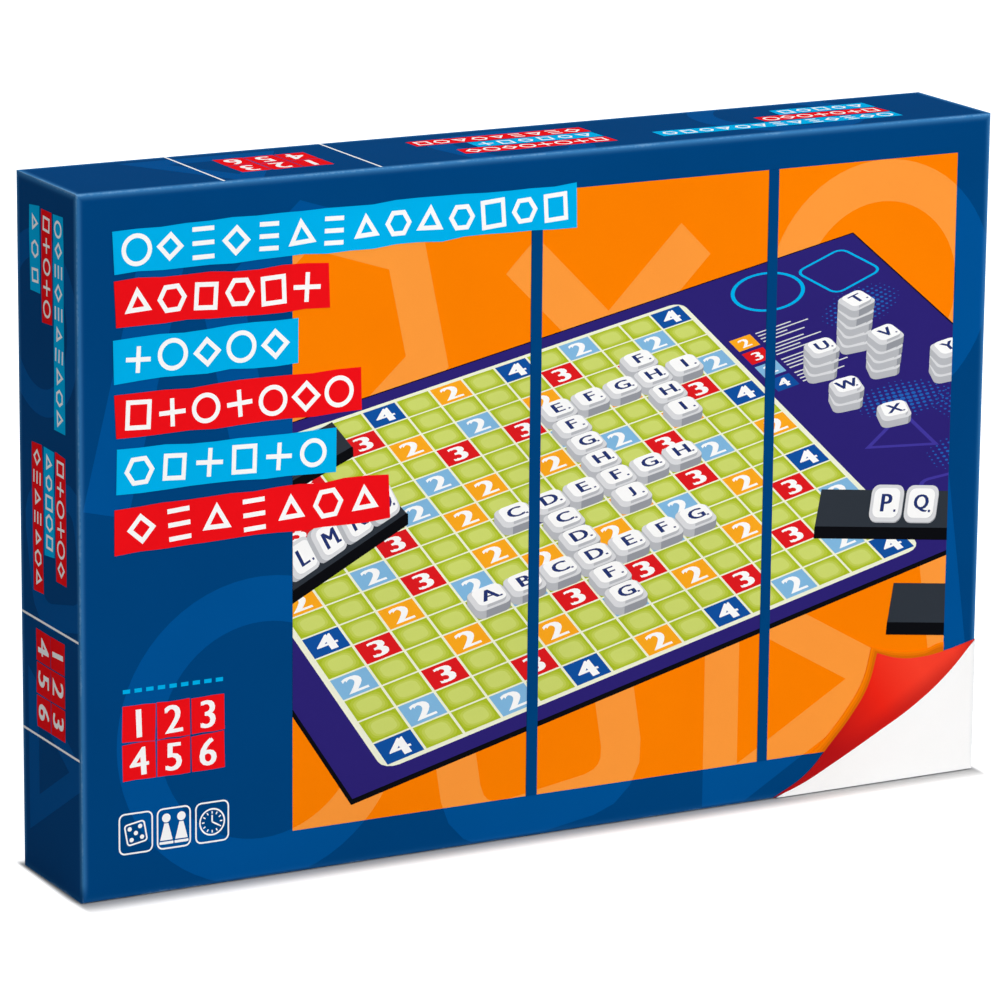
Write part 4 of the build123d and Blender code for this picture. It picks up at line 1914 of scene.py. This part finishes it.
@dataclass
class LetterTiles:
    """One well of moulded letter tiles with their letters."""

    node: str
    body: str
    centre_x: float
    first_letter: int
    centre_z: float = 129.25
    foot_y: float = -11.7
    columns: int = 8
    rows: int = 6
    pitch: float = 18.8
    side: float = 18.5
    slab: float = 5.0
    corner: float = 4.0
    pad_side: float = 14.0
    pad_high: float = 1.2
    pad_draft: float = 0.12
    recess_deep: float = 1.5
    recess_draft: float = 0.05
    recess_wider: float = 0.3
    edge: float = 0.45
    crease: float = 32.0
    letter_high: float = 7.2
    letter_aside: float = 0.15
    dot: float = 0.9
    dot_place: Pair = (4.6, -3.15)
    chance: random.Random = field(default_factory=lambda: random.Random(3))

    def tile(self) -> Shape:
        """Makes one tile.

        Returns:
            The tile about its own middle, its foot at 0 and its pad on top.
        """
        shape = Shapes.rectangle(self.side, self.side, self.corner)
        floor = shape.faces[:]
        top = raise_faces(shape, floor, Vector((0, 0, self.slab)))
        inset = (self.side - self.pad_side) / 2
        for faces, width, depth in (
            (top, inset, 0.0), (top, self.pad_draft, self.pad_high),
            (floor, inset - self.recess_wider, 0.0), (floor, self.recess_draft, -self.recess_deep),
        ):
            bmesh.ops.inset_region(shape, faces=faces, thickness=width, depth=depth, use_even_offset=True)
        soften(shape, self.edge)
        return shape

    def place(self, order: int) -> Matrix:
        """The place of a tile in the well, a little out of line.

        Args:
            order: Its number, row by row from the top left.

        Returns:
            Its middle on the well's floor.
        """
        row, column = divmod(order, self.columns)
        return spot(
            self.centre_x + (column - (self.columns - 1) / 2) * self.pitch + self.chance.uniform(-0.04, 0.04),
            self.centre_z + ((self.rows - 1) / 2 - row) * self.pitch + self.chance.uniform(-0.03, 0.03),
            self.chance.uniform(-0.3, 0.3),
        )

    def build(self, plastic: Material, press: Press) -> None:
        """Makes the well's tiles in place of their node and prints their letters.

        Args:
            plastic: The tiles' finish.
            press: Prints the letters.
        """
        foot = sheet_place((0.0, self.foot_y, 0.0), Way.RIGHT, Way.UP)
        top_y = self.foot_y - self.slab - self.pad_high
        pads = Sheet(press, sheet_place((0.0, top_y, 0.0), Way.RIGHT, Way.UP))
        master, whole = self.tile(), bmesh.new()
        for order in range(self.columns * self.rows):
            place = self.place(order)
            copy = moved(master.copy(), foot @ place)
            press.join(whole, copy)
            copy.free()
            letter = chr(ord("A") + (self.first_letter + order) % 26)
            Mark(letter, self.letter_high, self.letter_aside).stamp(pads.put, Ink.NAVY, place, 1, step=0.4)
            pads.put(Ink.NAVY, Shapes.rectangle(self.dot, self.dot), place @ spot(*self.dot_place), 1.8)
        master.free()
        tiles = finish_piece(f"moulded_{self.node}", whole, self.body, plastic)
        stand_for(tiles, self.node, self.crease)


@dataclass(frozen=True)
class Opening:
    """A rectangular opening in the tray's plateau."""

    across: float
    up: float
    width: float
    height: float

    def lines(self) -> set[tuple[int, float]]:
        """The four lines along its sides: the axis that each crosses and its distance."""
        sides = ((0, self.across, self.width), (1, self.up, self.height))
        return {(axis, middle + way * size / 2) for axis, middle, size in sides for way in (-1, 1)}

    def holds(self, point: Vector) -> bool:
        """Whether a point lies over it."""
        return abs(point.x - self.across) < self.width / 2 and abs(point.y - self.up) < self.height / 2


@dataclass
class FormedTray:
    """The vacuum-formed insert tray with rounded shoulders and drafted pockets."""

    width: float = 369.8
    height: float = 249.8
    middle_z: float = 130.0
    plateau_y: float = -18.2
    foot_y: float = 24.2
    skin: float = 0.8
    draft: float = math.tan(math.radians(2.0))
    corner: float = 6.0
    pocket_corner: float = 2.4
    shoulder: float = 1.3
    crease: float = 50.0
    pocket_x: float = 92.9
    channel_deep: float = 20.8
    channel: Pair = (168.0, 28.8)
    rack_slot: Pair = (25.8, 16.0)
    channel_rows: Pair = (-102.5, 102.5)
    well_deep: float = 6.8
    well: Pair = (153.4, 114.6)
    tile_slot: Pair = (40.4, 44.0)
    level_within: float = 0.01
    normal_digits: int = 3
    corner_share: float = 0.49
    steep_share: float = 0.9

    def pocket(self, up: float, deep: float, size: Pair, slot: Pair) -> list[Opening]:
        """The openings of a pocket: two wide ones and the finger slot between them.

        Args:
            up: Height of its middle.
            deep: Its depth.
            size: Width and height of the wide openings at the pocket's floor.
            slot: Width and height of the slot at its floor.

        Returns:
            The openings at the plateau.
        """
        grow = 2 * deep * self.draft
        wide = [Opening(way * self.pocket_x, up, size[0] + grow, size[1] + grow) for way in (-1, 1)]
        return [*wide, Opening(0.0, up, slot[0] + grow, slot[1] + grow)]

    def plateau(self, openings: list[Opening], high: float) -> Shape:
        """The tray's flat top, cut along its middle and along the sides of all its openings.

        Args:
            openings: The openings.
            high: The plateau's height over the foot.

        Returns:
            The shape.
        """
        lean = high * self.draft
        shape = Shapes.rectangle(self.width - 2 * lean, self.height - 2 * lean)
        bmesh.ops.translate(shape, vec=(0, 0, high), verts=shape.verts)
        middle = {(0, 0.0)}
        for axis, offset in sorted(middle.union(*(opening.lines() for opening in openings))):
            normal = Vector((0, 1, 0)) if axis else Vector((1, 0, 0))
            cut(shape, normal * offset, normal, reach=1e-5)
        return shape

    def skirt(self, shape: Shape, rim: list[bmesh.types.BMEdge], high: float) -> None:
        """Draws the outer walls down from the plateau's rim, wider towards the foot.

        Args:
            shape: The tray.
            rim: The plateau's outer edges.
            high: The plateau's height over the foot.
        """
        lean = high * self.draft
        walls = bmesh.ops.extrude_edge_only(shape, edges=rim)["geom"]
        low = [part for part in walls if isinstance(part, bmesh.types.BMVert)]
        bmesh.ops.translate(shape, vec=(0, 0, -high), verts=low)
        wider = (self.width / (self.width - 2 * lean), self.height / (self.height - 2 * lean), 1.0)
        bmesh.ops.scale(shape, vec=wider, verts=low)

    def build(self, plastic: Material) -> None:
        """Forms the tray in place of its node.

        Args:
            plastic: Its finish.
        """
        high = self.foot_y - self.plateau_y
        pockets = [
            (self.channel_deep, self.pocket(up, self.channel_deep, self.channel, self.rack_slot))
            for up in self.channel_rows
        ]
        pockets.append((self.well_deep, self.pocket(0.0, self.well_deep, self.well, self.tile_slot)))
        shape = self.plateau([opening for _, openings in pockets for opening in openings], high)
        rim = [edge for edge in shape.edges if edge.is_boundary]
        for deep, openings in pockets:
            level = [face for face in shape.faces if face.calc_center_median().z > high - self.level_within]
            inside = [f for f in level if any(part.holds(f.calc_center_median()) for part in openings)]
            lean = deep * self.draft
            bmesh.ops.inset_region(shape, faces=inside, thickness=lean, depth=-deep, use_even_offset=True)
        self.skirt(shape, rim, high)
        bmesh.ops.recalc_face_normals(shape, faces=shape.faces)
        if max(shape.faces, key=lambda face: face.calc_center_median().z).normal.z < 0:
            bmesh.ops.reverse_faces(shape, faces=shape.faces)
        self.merge_flat(shape)
        for outer, radius in ((True, self.corner), (False, self.pocket_corner)):
            round_off(shape, self.uprights(shape, outer), radius, "EDGES", segments=5)
        edges = sharp_edges(shape, 0.9)
        level = [e for e in edges if abs(e.verts[1].co.z - e.verts[0].co.z) < self.level_within]
        round_off(shape, level, self.shoulder, "EDGES", segments=3)
        moved(shape, sheet_place((0.0, self.foot_y, self.middle_z), Way.RIGHT, Way.UP))
        tray = finish_piece("formed_insert_tray", shape, "tray", plastic)
        stand_for(tray, "insert_tray", self.crease)
        wall = tray.modifiers.new("Formed skin", "SOLIDIFY")
        wall.thickness = self.skin * MM
        wall.offset = -1.0
        wall.use_even_offset = False

    def merge_flat(self, shape: Shape) -> None:
        """Joins faces that lie in one plane; parting them at the middle leaves none with a hole.

        Args:
            shape: The tray.
        """
        groups: dict[tuple[float | bool, ...], list[Face]] = {}
        for face in shape.faces:
            normal = (round(part, self.normal_digits) for part in face.normal)
            key = (*normal, face.calc_center_median().x > 0)
            groups.setdefault(key, []).append(face)
        for faces in groups.values():
            bmesh.ops.dissolve_faces(shape, faces=faces, use_verts=True)

    def uprights(self, shape: Shape, outer: bool) -> list[bmesh.types.BMEdge]:
        """The edges that run down the tray's outer corners or its pockets' corners.

        Args:
            shape: The tray.
            outer: Whether the outer corners are meant.

        Returns:
            The edges.
        """
        found = []
        for edge in sharp_edges(shape, 0.6):
            run = edge.verts[1].co - edge.verts[0].co
            start = edge.verts[0].co
            at_corner = max(abs(start.x) / self.width, abs(start.y) / self.height) > self.corner_share
            if abs(run.z) > self.steep_share * run.length and at_corner == outer:
                found.append(edge)
        return found


@dataclass(frozen=True)
class Lamp:
    """A soft square light that looks at the box."""

    name: str
    place_m: Triple
    size_m: float
    watts: float
    target_m: Triple = (0.0, 0.0, 0.13)

    def hang(self) -> None:
        """Adds the light to the scene."""
        data = bpy.data.lights.new(self.name, "AREA")
        data.size = self.size_m
        data.energy = self.watts
        lamp = bpy.data.objects.new(self.name, data)
        lamp.location = self.place_m
        lamp.rotation_mode = "QUATERNION"
        lamp.rotation_quaternion = (Vector(self.target_m) - Vector(self.place_m)).to_track_quat("-Z", "Y")
        bpy.context.scene.collection.objects.link(lamp)


@dataclass
class Studio:
    """The pale floor, the soft lights, the white surroundings and the camera."""

    camera_at_m: Triple = (-0.96072, -1.77398, 0.62877)
    yaw: float = 0.4935
    pitch: float = -0.2455
    roll: float = 0.0094
    lens: float = 199.87
    floor_m: float = 40.0
    # The painted contact shadow: the footprint it surrounds, its reach, and how much narrower it is at the
    # sides and back.
    footprint_m: Triple = (0.19, 0.0265, 0.0265)
    contact_m: float = 0.017
    side_narrower: Pair = (4.2, 6.5)
    rear_narrower: float = 2.2
    world_level: float = 0.3
    lamps: tuple[Lamp, ...] = (
        Lamp("Key", (0.9, -2.6, 1.3), 1.6, 62.0),
        Lamp("Overhead", (0.3, -0.2, 2.6), 2.0, 22.5),
        Lamp("Rear fill", (-0.6, 2.6, 1.1), 1.6, 26.0),
    )

    def camera(self) -> None:
        """Places the camera at the photograph's viewing angle."""
        data = bpy.data.cameras.new("Camera")
        data.lens = self.lens
        data.sensor_width = 36.0
        data.sensor_fit = "HORIZONTAL"
        data.clip_start = 0.05
        data.clip_end = 100.0
        camera = bpy.data.objects.new("Camera", data)
        flat = math.cos(self.pitch)
        ahead = Vector((math.sin(self.yaw) * flat, math.cos(self.yaw) * flat, math.sin(self.pitch)))
        right = Vector((math.cos(self.yaw), -math.sin(self.yaw), 0.0))
        up = right.cross(ahead)
        tilted = right * math.cos(self.roll) + up * math.sin(self.roll)
        upright = up * math.cos(self.roll) - right * math.sin(self.roll)
        turn = Matrix((tilted, upright, -ahead)).transposed().to_4x4()
        camera.matrix_world = Matrix.Translation(self.camera_at_m) @ turn
        bpy.context.scene.collection.objects.link(camera)
        bpy.context.scene.camera = camera

    def backdrop_share(self, bench: NodeBench) -> Socket:
        """Tells the rays that see the background from those that light the object.

        Args:
            bench: The material's bench.

        Returns:
            1 for rays from the camera, from gloss and through glass.
        """
        path = bench.add("LightPath").outputs
        either = bench.math("MAXIMUM", path["Is Camera Ray"], path["Is Glossy Ray"])
        return bench.math("MAXIMUM", either, path["Is Transmission Ray"])

    def floor(self) -> None:
        """Lays the floor, which shows white but for a painted contact shadow round the box."""
        shape = bmesh.new()
        bmesh.ops.create_grid(shape, x_segments=1, y_segments=1, size=self.floor_m / 2)
        bmesh.ops.translate(shape, vec=(0.0, 0.0, -0.0002), verts=shape.verts)
        mesh = bpy.data.meshes.new("Floor")
        shape.to_mesh(mesh)
        shape.free()
        floor = bpy.data.objects.new("Floor", mesh)
        bpy.context.scene.collection.objects.link(floor)
        mesh.materials.append(self.floor_material())

    def floor_material(self) -> Material:
        """Makes the floor's finish: matt, and white to the camera but for a painted contact shadow, a dark
        band round where the box stands.

        Returns:
            The material.
        """
        material = bpy.data.materials.new("Pale floor")
        material.use_nodes = True
        nodes = material.node_tree.nodes
        nodes.remove(nodes["Principled BSDF"])
        bench = NodeBench(material.node_tree)
        diffuse = bench.add("BsdfDiffuse", (0.5, 0.5, 0.5, 1.0))
        glow = bench.add("Emission", (1.0, 1.0, 1.0, 1.0))
        # Painted contact shadow: the glow is held back by distance from the footprint, so there the grey
        # floor and the real shadow show.
        parts = bench.parts(bench.place())
        to_the_front = bench.times(parts[1], -1.0)
        ways = bench.add("CombineXYZ", bench.math("ABSOLUTE", parts[0]), to_the_front, parts[1]).outputs[0]
        outside = bench.vector("MAXIMUM", bench.vector("SUBTRACT", ways, self.footprint_m), (0.0, 0.0, 0.0))
        side = bench.remap(parts[1], -self.footprint_m[1], self.footprint_m[2], *self.side_narrower)
        narrower = bench.add("CombineXYZ", side, 1.0, self.rear_narrower).outputs[0]
        away = bench.measure("LENGTH", bench.vector("MULTIPLY", outside, narrower))
        brighter = bench.remap(away, 0.0, self.contact_m)
        bench.fill(glow.inputs["Strength"], bench.times(self.backdrop_share(bench), brighter))
        both = bench.add("AddShader", diffuse.outputs[0], glow.outputs[0])
        bench.fill(nodes["Material Output"].inputs["Surface"], both.outputs[0])
        return material

    def surroundings(self) -> None:
        """Sets a white world with a plain level of light."""
        world = bpy.data.worlds.new("White room")
        world.use_nodes = True
        bpy.context.scene.world = world
        bench = NodeBench(world.node_tree)
        ground = world.node_tree.nodes["Background"]
        ground.inputs["Color"].default_value = (1.0, 1.0, 1.0, 1.0)
        white = bench.times(self.backdrop_share(bench), 1.0 - self.world_level)
        bench.fill(ground.inputs["Strength"], bench.plus(self.world_level, white))

    def build(self) -> None:
        """Builds the studio."""
        self.camera()
        self.floor()
        for lamp in self.lamps:
            lamp.hang()
        self.surroundings()
        bpy.context.scene.view_settings.view_transform = "Standard"


def print_all(shelf: InkShelf) -> None:
    """Prints the lid, the base's back, the game board's two leaves and the rules leaflet.

    Args:
        shelf: The inks' finishes.
    """
    lid = Press("lid_print", "lid", "lid_paper", LID_WEAR_AND_SHEEN, 0.012)
    LidPrint(lid).print_all()
    base = Press("base_print", "base", "base_paper", BASE_WEAR_AND_SHEEN, 0.012)
    BackPrint(base).print_all()
    front = Press("front_leaf_print", "front_leaf", "board_print", layer_height=0.015)
    rear = Press("rear_leaf_print", "rear_leaf", "board_print", layer_height=0.015)
    GameBoard(front, rear).print_all()
    leaflet = Press("leaflet_print", "leaflet", "leaflet_paper")
    Leaflet(leaflet).print_all()
    for press in (lid, base, front, rear, leaflet):
        press.finish(shelf)


def mould_contents(effects: Effects, shelf: InkShelf) -> None:
    """Makes the racks, the letter tiles and the tray.

    Args:
        effects: The shared effects.
        shelf: The inks' finishes.
    """
    plastic = RACK_PLASTIC.make(effects)
    for number in range(1, 5):
        TileRack(f"rack_{number}").build(plastic)
    plastic = TILE_PLASTIC.make(effects)
    for side, centre_x, first_letter in (("left", -92.9, 0), ("right", 92.9, 13)):
        press = Press(f"tile_letters_{side}", f"{side}_tiles", "tile_plastic", layer_height=0.05)
        LetterTiles(f"letter_tiles_{side}", f"{side}_tiles", centre_x, first_letter).build(plastic, press)
        press.finish(shelf)
    FormedTray().build(TRAY_PLASTIC.make(effects))


def main() -> None:
    """Builds the studio and every piece in order."""
    logging.basicConfig(level=logging.INFO, format="%(message)s")
    effects = Effects()
    shelf = InkShelf(effects)
    Studio().build()
    PaperAndBoard(effects).dress(frame["nodes"])
    print_all(shelf)
    mould_contents(effects, shelf)


if __name__ == "__main__":
    main()
